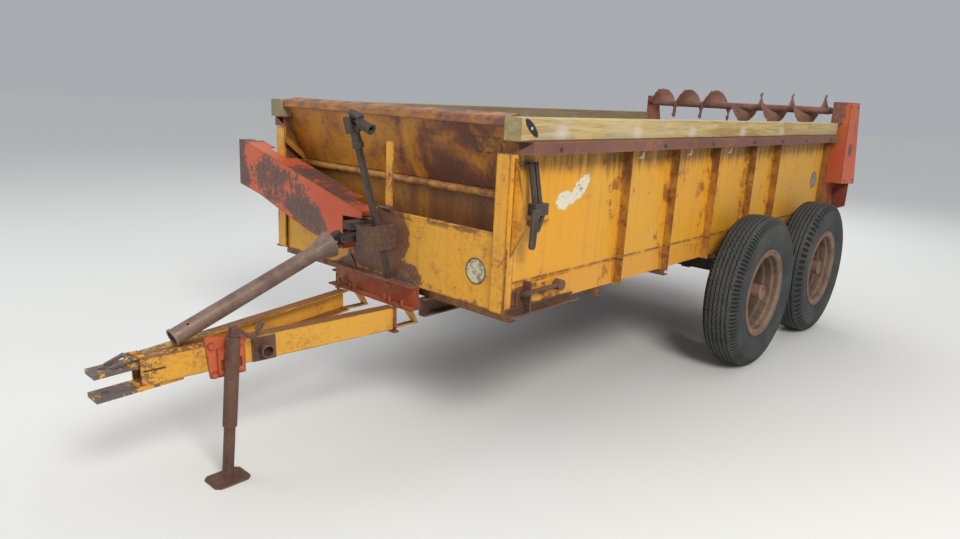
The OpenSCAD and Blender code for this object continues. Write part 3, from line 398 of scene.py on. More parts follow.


# Side sheets: uprights with painted rail shadow, stains, the flake, the round place, the inside, and dark
# run-off with painted rail shadow
RIB_ORANGE = (0.43, 0.185, 0.022)
RIB_RUST = (0.21, 0.070, 0.017)
RIB_DARK = (0.090, 0.038, 0.017)
# Painted shadow of the rail on the uprights
RIB_RAIL_SHADOW = (0.075, 0.034, 0.014)
SIDE_STAIN = (0.27, 0.080, 0.018)
FLAKE = (0.66, 0.62, 0.50)
SCOURED = (0.30, 0.135, 0.022)
SCOURED_DARK = (0.13, 0.055, 0.025)
# Dark run-off, made darker near the rail as painted rail shadow
BLACK_RUN_AND_RAIL_SHADOW = (0.085, 0.045, 0.015)
LOW_ORANGE = (0.60, 0.25, 0.045)
# Side sheets: the flakes' places, half sizes, raggedness and degrees; the round place; the lap's height
FLAKES = (
    ((MID - 0.385, BOX_Z + 0.474), (0.062, 0.042), 0.22, -10),
    ((MID - 0.505, BOX_Z + 0.520), (0.085, 0.040), 0.30, -38),
)
SIDE_DISC = ((MID - 3.86, BOX_Z + 0.384), 0.068, (0.24, 0.24, 0.21))
LAP_Z = BOX_Z + 0.133


def rib_color(t, mid, fine):
    """Rusty uprights, with the rail's shadow painted on their upper part."""
    tone = t.mix(t.step(mid, 0.38, 0.62), RIB_ORANGE, RIB_RUST)
    tone = t.mix(t.step(t.add(fine, t.mul(mid, 0.25)), 0.65, 0.76), tone, RIB_DARK)
    # Painted shadow of the rail on the uprights' upper part
    under_rail = t.step(t.z, RAIL_Z - 0.22, RAIL_Z - 0.10)
    return t.mix(t.mul(under_rail, 0.45), tone, RIB_RAIL_SHADOW)


def side_marks(t, paint, rust):
    """Stains at the uprights, dark run-off and painted rail shadow under the rail, the lap's line, a flake
    and a round worn place.
    """
    face = (t.x, t.z)
    fine = t.noise(55.0, 6.0, 0.7)
    mid = t.noise(9.0, 6.0, 0.65)
    to_rib = t.least(*(t.size(t.less(t.x, MID - back)) for back in RIB_BACKS))
    high = t.step(t.z, BOX_Z + 0.30, BOX_Z + 0.52)
    level = t.add(mid, t.mul(fine, 0.35), t.mul(t.step(to_rib, 0.24, 0.04), 0.16), t.mul(high, 0.06))
    paint = t.mix(t.mul(t.step(level, 0.86, 0.98), 0.85), paint, SIDE_STAIN)
    outside = t.step(t.mul(t.facing(1), t.y), -0.5, -0.3)
    specks = t.step(t.noise(70.0, 4.0, 0.6), 0.36, 0.42)
    paint = t.mix(t.mul(patches(t, face, FLAKES), specks), paint, FLAKE)
    paint = worn_disc(t, face, SIDE_DISC, paint)
    scour = t.step(t.add(mid, t.mul(fine, 0.3)), 0.56, 0.74)
    paint = t.mix(outside, t.mix(scour, SCOURED, SCOURED_DARK), paint)
    drip = t.noise(1.0, 6.0, 0.65, t.scaled((38.0, 38.0, 2.4)))
    # Painted shadow of the rail deepens the dark run-off along the sheet's top
    under_rail = t.step(t.z, RAIL_Z - 0.24, RAIL_Z - 0.02)
    run_and_rail_shadow = t.step(t.add(t.mul(drip, 0.8), t.mul(under_rail, 0.40)), 0.62, 0.90)
    paint = t.mix(t.mul(run_and_rail_shadow, 0.75), paint, BLACK_RUN_AND_RAIL_SHADOW)
    to_lap = t.size(t.less(t.z, LAP_Z))
    seam = t.mul(t.step(to_lap, 0.009, 0.002), t.step(t.noise(15.0, 4.0, 0.6), 0.34, 0.50))
    low = t.step(t.z, LAP_Z + 0.002, LAP_Z - 0.033)
    corner = t.mul(low, t.step(t.x, MID - 0.60, MID - 0.25))
    low_rust = t.mul(t.step(t.add(mid, t.mul(fine, 0.25), t.mul(corner, 0.20)), 0.76, 0.88), corner)
    paint = t.mix(t.mul(low, 0.35), paint, LOW_ORANGE)
    rib = t.step(t.size(t.y), HALF_W + 0.004, HALF_W + 0.008)
    paint = t.mix(t.mul(rib, 0.94), paint, rib_color(t, mid, fine))
    return paint, t.most(rust, t.mul(seam, 0.85), low_rust)


# Front panel: tones and places of the brown, the last place also carrying painted shade, the round place,
# and iron of the holder and strap
PANEL_BROWN = (0.125, 0.052, 0.036)
PANEL_BROWN_PALE = (0.20, 0.085, 0.045)
PANEL_SPOTS = (
    ((0.100, BOX_Z + 0.225), (0.150, 0.150), 0.10),
    ((0.215, BOX_Z + 0.035), (0.125, 0.075), 0.30),
    # Rust with painted shade at the lower left
    ((-0.02, BOX_Z + 0.085), (0.20, 0.075), 0.35),
)
PANEL_DISC = ((0.693, BOX_Z + 0.157), 0.062, (0.52, 0.47, 0.32))
IRON = (0.085, 0.052, 0.042)
IRON_PALE = (0.15, 0.085, 0.062)


def panel_marks(t, paint, rust):
    """Brown worn places round the shaft holder, the lower-left one also painted shade, rusty fold, holder
    and strap end, a round worn place.
    """
    face = (t.y, t.z)
    fine = t.noise(50.0, 6.0, 0.7)
    brown = patches(t, face, PANEL_SPOTS)
    brown_tone = t.mix(t.step(fine, 0.45, 0.65), PANEL_BROWN, PANEL_BROWN_PALE)
    paint = t.mix(t.mul(brown, 0.93), paint, brown_tone)
    paint = worn_disc(t, face, PANEL_DISC, paint)
    fold = t.mul(t.step(t.z, BOX_Z + 0.300, BOX_Z + 0.335), t.step(t.z, BOX_Z + 0.365, BOX_Z + 0.352))
    streak = t.noise(1.0, 5.0, 0.65, t.scaled((9.0, 9.0, 22.0)))
    fold_level = t.add(t.mul(streak, 0.7), t.mul(fine, 0.3), t.mul(fold, 0.12))
    fold_rust = t.mul(t.step(fold_level, 0.60, 0.66), fold)
    low = t.step(t.z, BOX_Z + 0.09, BOX_Z)
    low_rust = t.step(t.add(t.mul(fine, 0.4), t.mul(streak, 0.6), t.mul(low, 0.10)), 0.62, 0.68)
    rust = t.most(rust, t.mul(fold_rust, 0.8), t.mul(low_rust, 0.8))
    holder = t.mul(t.step(t.x, MID + 0.001, MID + 0.003), t.step(t.z, BOX_Z + 0.32, BOX_Z + 0.30))
    strap = t.band(t.z, BOX_Z + 0.3465, BOX_Z + 0.370, 0.0005)
    iron = t.most(holder, t.mul(strap, t.step(t.x, MID - 0.0035, MID - 0.0025)))
    iron_tone = t.mix(t.step(fine, 0.42, 0.66), IRON, IRON_PALE)
    return t.mix(iron, paint, iron_tone), t.mul(rust, t.less(1.0, iron))


def frame_strips(t, low_y, high_y, low_z, high_z, wide):
    """Outline of an oblong, strong along its edge and weaker inside."""
    outer = t.mul(t.band(t.y, low_y, high_y, 0.002), t.band(t.z, BOX_Z + low_z, BOX_Z + high_z, 0.002))
    inner_y = t.band(t.y, low_y + wide, high_y - wide, 0.002)
    inner_z = t.band(t.z, BOX_Z + low_z + wide, BOX_Z + high_z - wide, 0.002)
    return t.less(outer, t.mul(inner_y, inner_z, 0.55))


# Headboard: the sweep as (level from, level to, share, tone), then painted shade below the knee, strips,
# rail and knee tube
HEAD_SWEEP = (
    (0.42, 0.56, 0.60, (0.33, 0.115, 0.014)),
    (0.52, 0.64, 0.90, (0.150, 0.044, 0.020)),
    (0.62, 0.68, 0.80, (0.085, 0.030, 0.018)),
)
# Painted shade below the knee tube
HEAD_PAINTED_SHADE = (0.22, 0.095, 0.012)
STRIPS = (0.06, 0.028, 0.012)
TOP_RAIL = (0.125, 0.060, 0.048)
TOP_RAIL_RUST = (0.40, 0.155, 0.035)
KNEE = (0.46, 0.205, 0.035)
KNEE_RUST = (0.22, 0.080, 0.030)
# Headboard: the strips' lowest and highest y, their heights over the box's underside and their width
STRIPS_AT = (0.578, 0.752, 0.675, 0.752)
STRIP_WIDE = 0.008
# Headboard: the top rail's lower edge, and the knee tube's lowest and highest point
HEAD_RAIL_Z = BOX_Z + 0.803
KNEE_Z = (BOX_Z + 0.470, BOX_Z + 0.510)


def head_marks(t, paint, rust):
    """Brown sweep across the middle and left, painted shade below the knee tube, rusty rail and knee tube,
    worn strips at the upper left.
    """
    sweep = t.noise(1.0, 6.0, 0.62, t.scaled((3.2, 3.2, 2.0), (math.radians(28), 0, 0)), 0.8)
    fine = t.noise(44.0, 6.0, 0.7)
    run = t.noise(1.0, 5.0, 0.6, t.scaled((16.0, 16.0, 1.3)))
    to_left = t.step(t.y, -0.30, 0.25)
    level = t.add(t.mul(sweep, 0.70), t.mul(fine, 0.18), t.mul(run, 0.14), t.mul(to_left, 0.10))
    for low, high, share, tone in HEAD_SWEEP:
        paint = t.mix(t.mul(t.step(level, low, high), share), paint, tone)
    # Painted shade on the wall below the knee tube
    below_knee_shade = t.step(t.z, BOX_Z + 0.50, BOX_Z + 0.46)
    paint = t.mix(t.mul(below_knee_shade, 0.45), paint, HEAD_PAINTED_SHADE)
    strips = frame_strips(t, *STRIPS_AT, STRIP_WIDE)
    paint = t.mix(t.mul(strips, t.step(fine, 0.42, 0.52)), paint, STRIPS)
    rail = t.step(t.z, HEAD_RAIL_Z - 0.003, HEAD_RAIL_Z + 0.003)
    up = t.step(t.facing(2), 0.55, 0.80)
    rail_tone = t.mix(t.step(t.noise(12.0, 6.0, 0.7), 0.40, 0.60), TOP_RAIL, TOP_RAIL_RUST)
    paint = t.mix(t.mul(rail, t.blend(up, 0.72, 0.96)), paint, rail_tone)
    knee = t.mul(t.band(t.z, *KNEE_Z, 0.001), t.step(t.x, MID - 0.159, MID - 0.156))
    knee_tone = t.mix(t.step(t.noise(20.0, 6.0, 0.7), 0.42, 0.60), KNEE, KNEE_RUST)
    return t.mix(knee, paint, knee_tone), rust


# Front chain case: tones of its bare metal, and the two large bare places on its face
CASE_BARE = (0.105, 0.050, 0.040)
CASE_BARE_PALE = (0.165, 0.085, 0.065)
CASE_UPPER = ((-0.70, BOX_Z + 0.375), (0.34, 0.115), 0.10, -13.3, 0.55)
CASE_LOWER = ((-0.45, BOX_Z + 0.225), (0.20, 0.070), 0.10, -16, 0.55)


def case_marks(t, paint, rust):
    """Large brown bare patches on the case's face, top, lower edge and outer end."""
    face = (t.y, t.z)
    fine = t.noise(42.0, 7.0, 0.72)
    mid = t.noise(8.0, 6.0, 0.65)
    upper = patch(t, face, *CASE_UPPER)
    lower = patch(t, face, *CASE_LOWER)
    outer_end = t.step(t.y, -1.00, -1.14)
    top = t.mul(t.step(t.facing(2), 0.55, 0.80), t.band(t.y, -0.62, -0.05, 0.10))
    bias = t.add(t.mul(upper, 0.17), t.mul(lower, 0.17), t.mul(outer_end, 0.20), t.mul(top, 0.16))
    bare = t.step(t.add(t.mul(mid, 0.5), t.mul(fine, 0.5), bias), 0.600, 0.630)
    bare_tone = t.mix(t.step(fine, 0.44, 0.62), CASE_BARE, CASE_BARE_PALE)
    return t.mix(bare, paint, bare_tone), t.mul(rust, 0.7)


# Worn top of the bolster
BOLSTER_TOP = (0.13, 0.075, 0.058)
BOLSTER_TOP_PALE = (0.24, 0.13, 0.095)


def bolster_marks(t, paint, rust):
    """Worn grey-brown top flange and gussets."""
    fine = t.noise(46.0, 6.0, 0.7)
    top = t.step(t.z, BOX_Z + 0.004, BOX_Z + 0.0085)
    top_tone = t.mix(t.step(fine, 0.42, 0.64), BOLSTER_TOP, BOLSTER_TOP_PALE)
    return t.mix(t.mul(top, 0.9), paint, top_tone), t.mul(rust, t.less(1.0, top))


# Posts: the end posts' browns and the stain on all posts
END_POST = (0.17, 0.065, 0.020)
END_POST_PALE = (0.33, 0.125, 0.020)
POST_STAIN = (0.34, 0.120, 0.018)


def post_marks(t, paint, rust):
    """Orange rust down the posts' edges and the latch's bracket, brown end posts."""
    fine = t.noise(48.0, 6.0, 0.7)
    mid = t.noise(10.0, 6.0, 0.65)
    end = t.step(t.x, MID - 3.80, MID - 3.90)
    end_tone = t.mix(t.step(mid, 0.40, 0.60), END_POST, END_POST_PALE)
    paint = t.mix(t.mul(end, 0.92), paint, end_tone)
    bracket = t.step(t.size(t.y), HALF_W + 0.002, HALF_W + 0.012)
    level = t.add(t.mul(mid, 0.6), t.mul(fine, 0.4), t.mul(bracket, 0.06), t.mul(t.edge(0.014), 0.09))
    return t.mix(t.mul(t.step(level, 0.53, 0.63), 0.7), paint, POST_STAIN), rust


# Bare tie hooks
HOOK = (0.42, 0.31, 0.21)


def rail_marks(t, paint, rust):
    """Bare pale hooks under the painted rail."""
    hook = t.step(t.z, RAIL_Z - 0.0005, RAIL_Z - 0.0025)
    return t.mix(t.mul(hook, 0.85), paint, HOOK), t.mul(rust, t.less(1.0, hook))


# Rear chain cover: bare corner, lower guard and round place
COVER_BARE = (0.12, 0.065, 0.050)
COVER_BARE_PALE = (0.20, 0.11, 0.08)
GUARD_RED = (0.235, 0.045, 0.024)
GUARD_DARK = (0.095, 0.040, 0.030)
COVER_CORNER = ((HALF_W + 0.02, BOX_Z + 0.960), (0.075, 0.170), 0.25)
GUARD_TOP = BOX_Z + 0.330
COVER_DISC = ((MID - 4.273, BOX_Z + 0.629), 0.052, (0.16, 0.075, 0.055))


def cover_marks(t, paint, rust):
    """Round worn place on the outer face, brown worn top corner, dark rusty lower guard."""
    fine = t.noise(44.0, 6.0, 0.7)
    bare = patch(t, (t.y, t.z), *COVER_CORNER)
    bare_tone = t.mix(t.step(fine, 0.44, 0.62), COVER_BARE, COVER_BARE_PALE)
    paint = t.mix(t.mul(bare, 0.85), paint, bare_tone)
    guard = t.step(t.z, GUARD_TOP + 0.002, GUARD_TOP - 0.002)
    guard_tone = t.mix(t.step(fine, 0.40, 0.62), GUARD_RED, GUARD_DARK)
    paint = t.mix(t.mul(guard, 0.88), paint, guard_tone)
    return worn_disc(t, (t.x, t.z), COVER_DISC, paint), rust


# Tongue: bare brown and sun-bleached paint
TONGUE_BARE = (0.145, 0.060, 0.032)
TONGUE_PALE = (0.72, 0.47, 0.16)


def tongue_marks(t, paint, rust):
    """Brown worn top flanges and a bare, rusty front end."""
    fine = t.noise(60.0, 6.0, 0.72)
    up = t.step(t.facing(2), 0.70, 0.90)
    rear = t.step(t.x, MID + 0.95, MID + 0.75)
    tip = t.step(t.x, MID + 1.08, MID + 1.24)
    level = t.add(fine, t.mul(up, t.blend(rear, 0.16, 0.30)), t.mul(tip, 0.17))
    paint = t.mix(t.mul(t.step(level, 0.60, 0.68), 0.85), paint, TONGUE_BARE)
    pale = t.mul(up, t.step(fine, 0.50, 0.40), t.blend(rear, 0.5, 0.0))
    return t.mix(pale, paint, TONGUE_PALE), rust


def hitch_marks(t, paint, rust):
    """Yellow paint left on the rear part of the hitch plates."""
    fine = t.noise(40.0, 6.0, 0.7)
    rear = t.step(t.x, MID + 1.30, MID + 1.18)
    return t.mix(t.step(t.add(fine, t.mul(rear, 0.16)), 0.57, 0.63), paint, YELLOW), rust


# Timbers: how far behind the front plane the smears lie, the smears, the dark plate and its hole
SMEAR_BACKS = (0.257, 0.893, 1.495, 2.190, 2.854)
SMEARS = [((MID - back, RAIL_TOP + 0.030), (0.042, 0.030), 0.12, 0.0, 0.80) for back in SMEAR_BACKS]
END_PLATE = ((MID - 0.045, BOX_Z + 0.804), (0.056, 0.019), 0.02, 40)
END_PLATE_HOLE = ((MID - 0.047, BOX_Z + 0.802), (0.007, 0.007), 0.0)
# Timbers: colours of smears, dark plate with its hole, end grain and the right timber's grey
SMEAR = (0.62, 0.62, 0.55)
PLATE = (0.028, 0.026, 0.030)
PLATE_HOLE = (0.45, 0.43, 0.40)
END_GRAIN = (0.17, 0.165, 0.085)
GREYED = (0.200, 0.155, 0.115)


def timber_marks(t, c):
    """White smears down the face, a dark plate near the left front, grey ends, a greyer right timber."""
    face = (t.x, t.z)
    c = t.mix(t.mul(patches(t, face, SMEARS), 0.55), c, SMEAR)
    left = t.step(t.y, 0.0, 0.1)
    c = t.mix(t.mul(patch(t, face, *END_PLATE), left), c, PLATE)
    c = t.mix(t.mul(patch(t, face, *END_PLATE_HOLE), left), c, PLATE_HOLE)
    end = t.step(t.facing(0), 0.7, 0.9)
    c = t.mix(t.mul(end, 0.55), c, END_GRAIN)
    right = t.step(t.y, 0.0, -0.1)
    return t.mix(t.mul(right, 0.62), c, GREYED)


def wooden(name, pale, dark, grey, marks=None):
    """Weathered wood with rings, fibres, grey blotches and dark cracks along X."""
    t = Tree(name)
    rings = t.noise(1.6, 6.0, 0.6, t.scaled((0.9, 16.0, 16.0)), 1.3)
    fibre = t.noise(1.0, 5.0, 0.65, t.scaled((9.0, 240.0, 240.0)))
    blotch = t.noise(2.4, 4.0, 0.6)
    crack = t.noise(1.0, 4.0, 0.6, t.scaled((2.2, 130.0, 60.0)))
    c = t.mix(t.step(rings, 0.38, 0.66), pale, dark)
    c = t.mix(t.mul(t.step(fibre, 0.46, 0.72), 0.45), c, shaded(dark, 0.45))
    c = t.mix(t.mul(t.step(blotch, 0.48, 0.70), 0.55), c, grey)
    c = t.mix(t.step(crack, 0.69, 0.74), c, WOOD_CRACK)
    if marks:
        c = marks(t, c)
    t.bump(t.add(fibre, t.mul(rings, 0.6)), 0.5, 0.002)
    return t.finish(c, t.blend(fibre, 0.68, 0.9), specular=0.3)


# Tyres: dark and dusty rubber, dust on the tread, and painted shade in the deep grooves and between the lugs
RUBBER = (0.034, 0.038, 0.039)
RUBBER_DUSTY = (0.064, 0.067, 0.063)
TREAD_DUST = (0.115, 0.105, 0.085)
# Painted shade in the grooves and between the lugs
GROOVE_PAINTED_SHADE = (0.008, 0.009, 0.009)


def rubber_material():
    """Weathered rubber, with painted shade in the grooves and between the lugs."""
    t = Tree("tyre_rubber")
    r, out = wheel_reach(t)
    across = t.size(out)
    crown = t.less(TYRE_R, t.mul(across, across, CROWN_FALL))
    on_tread = t.step(across, 0.0765, 0.0755)
    groove = t.mul(t.step(t.less(crown, r), 0.0015, 0.0050), on_tread)
    shoulder_y, shoulder_r = SHOULDER[0][:2]
    past = t.less(across, shoulder_y)
    shoulder = t.less(shoulder_r, t.mul(past, past, SHOULDER_FALL))
    on_shoulder = t.mul(t.step(across, 0.0770, 0.0785), t.step(r, 0.444, 0.450))
    gap = t.mul(t.step(t.less(shoulder, r), 0.003, 0.009), on_shoulder)
    dust = t.noise(5.0, 6.0, 0.6)
    fine = t.noise(120.0, 4.0, 0.6)
    c = t.mix(t.step(dust, 0.40, 0.70), RUBBER, RUBBER_DUSTY)
    dusty_tread = t.mul(t.step(r, 0.470, 0.485), 0.45, t.step(fine, 0.42, 0.62))
    c = t.mix(dusty_tread, c, TREAD_DUST)
    # Painted shade in the grooves and in the gaps between the shoulder lugs
    c = t.mix(t.mul(t.most(groove, gap), 0.90), c, GROOVE_PAINTED_SHADE)
    t.bump(fine, 0.25, 0.0008)
    return t.finish(c, t.blend(dust, 0.62, 0.85), specular=0.35)


# Numbers: amount of rust, streaks and worn edges of paint; roughness and metal share of bare steel
MATS = {
    "side": painted("side_paint", YELLOW, YELLOW_FADED, 0.36, 0.35, 0.4, marks=side_marks),
    "panel": painted("panel_paint", YELLOW, YELLOW_FADED, 0.50, 0.35, 0.6, marks=panel_marks),
    "post": painted("post_paint", YELLOW, YELLOW_FADED, 0.56, 0.45, 0.7, marks=post_marks),
    "tongue": painted("tongue_paint", YELLOW, YELLOW_FADED, 0.50, 0.2, 0.6, marks=tongue_marks),
    # The headboard's base colours carry painted half-shade
    "head": painted("head_paint", HEAD_YELLOW_IN_SHADE, HEAD_FADED_IN_SHADE, 0.62, 0.6, 0.6, marks=head_marks),
    # Cross members: dark brown for rust and dirt, and as painted shade under the box
    "under": painted("under_rust_and_painted_shade", UNDER_RUST_AND_SHADE, UNDER_RUST_AND_SHADE_FADED, 0.90, 0.4, 0.6),
    "red": painted("red_paint", RED, RED_FADED, 0.60, 0.35, 0.6),
    "cover": painted("cover_paint", RED, RED_FADED, 0.60, 0.35, 0.6, marks=cover_marks),
    "case": painted("case_paint", RED, RED_FADED, 0.50, 0.30, 0.8, marks=case_marks),
    "plate": painted("plate_paint", PLATE_RED, PLATE_FADED, 0.90, 0.5, 0.6),
    "bolster": painted("bolster_paint", DARK_RED, DARK_RED_FADED, 0.86, 0.35, 0.8, marks=bolster_marks),
    "hitch": painted("hitch_iron", HITCH_IRON, HITCH_FADED, 0.25, 0.1, 0.2, marks=hitch_marks),
    "rail": painted("rail_paint", RAIL_BROWN, RAIL_FADED, 0.40, 0.25, 0.3, gloss=0.5, marks=rail_marks),
    "auger": rusty("auger_steel", AUGER, AUGER_RUBBED, 0.6, 0.15),
    "steel": rusty("rusty_steel", STEEL, STEEL_RUBBED),
    "shaft": rusty("shaft_steel", SHAFT, SHAFT_RUBBED, 0.42),
    "dark": rusty("dark_steel", DARK_STEEL, DARK_STEEL_RUBBED, 0.5, 0.4),
    "cast": rusty("cast_iron", CAST_IRON, CAST_IRON_RUBBED, 0.6, 0.4),
    "timber": wooden("timber", TIMBER_PALE, TIMBER_DARK, TIMBER_GREY, timber_marks),
    "boards": wooden("floor_boards", BOARD_PALE, BOARD_DARK, BOARD_GREY),
    "rim": wheel_material(),
    "rubber": rubber_material(),
}

# Which nodes get which material
FINISHES = {
    "side": ("side_left", "side_right"),
    "panel": ("front_panel",),
    "post": ("posts",),
    "tongue": ("tongue_left", "tongue_right"),
    "head": ("headboard",),
    "under": ("cross_members",),
    "red": ("jack_bracket", "rear_gearbox"),
    "cover": ("chain_cover",),
    "case": ("chain_case",),
    "plate": ("bearing_plates",),
    "bolster": ("bolster",),
    "hitch": ("hitch_clevis",),
    "rail": ("rails",),
    "auger": ("upper_beater", "lower_beater"),
    "steel": (
        "sills", "jack_tube", "jack_leg", "jack_storage", "line_shaft",
        "apron_chains", "apron_slats", "apron_shafts", "take_ups",
    ),
    "shaft": ("pto_tube",),
    "dark": ("stored_shaft", "input_shaft", "pto_yoke", "side_latch"),
    "cast": ("line_bearings", "walking_beams", "cross_axle"),
    "timber": ("timbers",),
    "boards": ("floor",),
    "rim": ("wheel_front_left", "wheel_rear_left", "wheel_front_right", "wheel_rear_right"),
    "rubber": ("tyre_front_left", "tyre_rear_left", "tyre_front_right", "tyre_rear_right"),
}
for finish, names in FINISHES.items():
    for name in names:
        materials = NODES[name].data.materials
        materials.clear()
        materials.append(MATS[finish])


# Small parts
def piece(name, verts, faces, mat, body, smooth=None, sharp=None, node=None):
    """Links one closed mesh, rides it on a body and puts it in the place of a node."""
    mesh = bpy.data.meshes.new(name)
    mesh.from_pydata([tuple(v) for v in verts], [], faces)
    mesh.validate()
    bm = bmesh.new()
    bm.from_mesh(mesh)
    bmesh.ops.recalc_face_normals(bm, faces=bm.faces)
    bm.to_mesh(mesh)
    bm.free()
    if smooth:
        mesh.polygons.foreach_set("use_smooth", [smooth(p) for p in mesh.polygons])
    if sharp:
        mesh.set_sharp_from_angle(angle=math.radians(sharp))
    mesh.materials.append(mat)
    obj = bpy.data.objects.new(name, mesh)
    bpy.context.scene.collection.objects.link(obj)
    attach(obj, body)
    if node:
        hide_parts(node)


def everywhere(poly):
    return True


def join_rings(faces, first, count, rings, loop=False):
    """Skins rings of count points from point first on, as a closed loop or with a cap at each end."""
    for i in range(rings if loop else rings - 1):
        a = first + i * count
        b = first + (i + 1) % rings * count
        for k in range(count):
            n = (k + 1) % count
            faces.append((a + k, a + n, b + n, b + k))
    if not loop:
        last = first + (rings - 1) * count
        faces.append(tuple(range(first, first + count)))
        faces.append(tuple(reversed(range(last, last + count))))


def turned(profile, middle, count):
    """Rings of points round the line along Y through the middle; the profile holds (radius, y) points."""
    x, y, z = middle
    angles = [2 * math.pi * k / count for k in range(count)]
    return [(x + r * math.cos(a), y + dy, z + r * math.sin(a)) for r, dy in profile for a in angles]


def zigzag(turn, waves):
    """Triangle wave between -1 and 1."""
    part = (turn * waves) % 1.0
    return 4 * abs(part - 0.5) - 1


def half_section(lug_cut):
    """From the tread's edge over the shoulder and down the sidewall, as (y, radius) points."""
    points = [TREAD_EDGE]
    points += [(y, r - lug_cut * share) for y, r, share in SHOULDER]
    points += SIDEWALL
    return points


def grooved_tread(swing):
    """The crown between the tread's edges, with its grooves moved sideways by swing."""
    points = []
    for groove in GROOVES:
        crown = TYRE_R - CROWN_FALL * groove * groove
        for share, depth in ((-1.0, 0.0), (-0.5, GROOVE_DEPTH), (0.5, GROOVE_DEPTH), (1.0, 0.0)):
            points.append((groove + swing + share * GROOVE_HALF, crown - depth))
    return points


def tyre(corner, middle, lugs, waves, lug_depth):
    """Rib tread with zigzag grooves, shoulder lugs and ringed sidewalls."""
    # A lug and its gap take two steps each
    steps = lugs * 4
    x, y, z = middle
    verts, faces = [], []
    for i in range(steps):
        turn = i / steps
        half = half_section(lug_depth if i % 4 > 1 else 0.0)
        section = [(-dy, r) for dy, r in reversed(half)] + grooved_tread(ZIGZAG * zigzag(turn, waves)) + half
        angle = 2 * math.pi * turn
        verts += [(x + r * math.cos(angle), y + dy, z + r * math.sin(angle)) for dy, r in section]
    width = len(section)
    join_rings(faces, 0, width, steps, loop=True)
    wall = len(SIDEWALL)

    def on_wall(poly):
        column = poly.vertices[0] % width
        return column < wall - 1 or column >= width - wall

    piece("tyre_tread_" + corner, verts, faces, MATS["rubber"], corner + "_wheel",
          smooth=on_wall, node="tyre_" + corner)


def bolt_heads(name, places, size, body):
    """Hexagon heads on round washers, as one piece; a place is a point and the direction outwards."""
    # Number of sides, radius, lowest and highest point over the face, chamfer
    washer = (20, 1.05 * size, -0.002, 0.16 * size, 0.0)
    head = (6, 0.80 * size, 0.15 * size, 0.72 * size, 0.10 * size)
    verts, faces = [], []
    for point, out in places:
        base, out = Vector(point), Vector(out)
        side = out.orthogonal().normalized()
        other = out.cross(side)
        for sides, radius, low, high, chamfer in (washer, head):
            first = len(verts)
            for r, height in ((radius, low), (radius, high - chamfer), (radius - 1.3 * chamfer, high)):
                for k in range(sides):
                    a = 2 * math.pi * k / sides
                    verts.append(base + out * height + side * r * math.cos(a) + other * r * math.sin(a))
            join_rings(faces, first, sides, 3)
    piece(name, verts, faces, MATS["cast"], body)


# Beaters with their tube's half length and radius, and their flights' radius, pitch and seed of wear
Beater = namedtuple("Beater", "name node reach tube_r radius pitch seed")
BEATERS = (
    Beater("upper_auger", "upper_beater", 0.820, 0.030, 0.1355, 0.270, 3),
    Beater("lower_auger", "lower_beater", 0.848, 0.057, 0.240, 0.400, 8),
)
# Journals are slim enough to clear the facets of their bores
JOURNAL_R = 0.0245
# Gaps along the tube at a flight's outer and inner end
END_GAP = 0.010
MID_GAP = 0.020
# Flight section: thickness, rounding of its edge, and how deep its root is sunk in the tube
FLIGHT_THICK = 0.006
FLIGHT_EDGE = 0.001
ROOT_SUNK = 0.003
# Wear of a flight's edge: waves and their turn from section to section, roughness, the notches' number and
# depths, and how many sections they keep from the ends
EDGE_WAVE = 0.0012
WAVE_TURN = 0.9
EDGE_ROUGH = 0.0016
NOTCHES = 7
NOTCH_DEPTHS = (0.006, 0.013)
NOTCH_MARGIN = 4
# Degrees: a flight is a whole number of FLIGHT_UNIT long and has a section at each FLIGHT_STEP; its knives
# lie KNIFE_STEP apart, from KNIFE_FROM on and up to KNIFE_TO before its end
FLIGHT_UNIT = 20
FLIGHT_STEP = 5
KNIFE_STEP = 120
KNIFE_FROM = 60
KNIFE_TO = 20
# Knife: thickness, half widths at root and tip, how far it reaches in and out past the edge, and its bolts
KNIFE_THICK = 0.008
KNIFE_WIDE = 0.022
KNIFE_TIP = 0.015
KNIFE_IN = 0.020
KNIFE_OUT = 0.005
KNIFE_BOLT_IN = 0.010
KNIFE_BOLT_SIDE = 0.012
KNIFE_BOLT_SIZE = 0.006


def flight(beater, rng, verts, faces, start, hand, steps):
    """One helical flight with a worn, notched edge."""
    first = len(verts)
    root = beater.tube_r - ROOT_SUNK
    notches = {}
    for _ in range(NOTCHES):
        spot = rng.randrange(NOTCH_MARGIN, steps - NOTCH_MARGIN)
        notches[spot] = rng.uniform(*NOTCH_DEPTHS)
    for i in range(steps + 1):
        degrees = FLIGHT_STEP * i
        turn = math.radians(hand * degrees)
        y = start + beater.pitch * degrees / 360
        wave = EDGE_WAVE + EDGE_WAVE * math.sin(i * WAVE_TURN + beater.seed)
        edge = beater.radius - (wave + rng.uniform(0.0, EDGE_ROUGH) + notches.get(i, 0.0))
        section = ((root, 0.0), (edge - FLIGHT_EDGE, 0.0), (edge, FLIGHT_THICK / 2),
                   (edge - FLIGHT_EDGE, FLIGHT_THICK), (root, FLIGHT_THICK))
        verts += [Vector((r * math.cos(turn), y + dy, r * math.sin(turn))) for r, dy in section]
    join_rings(faces, first, len(section), steps + 1)


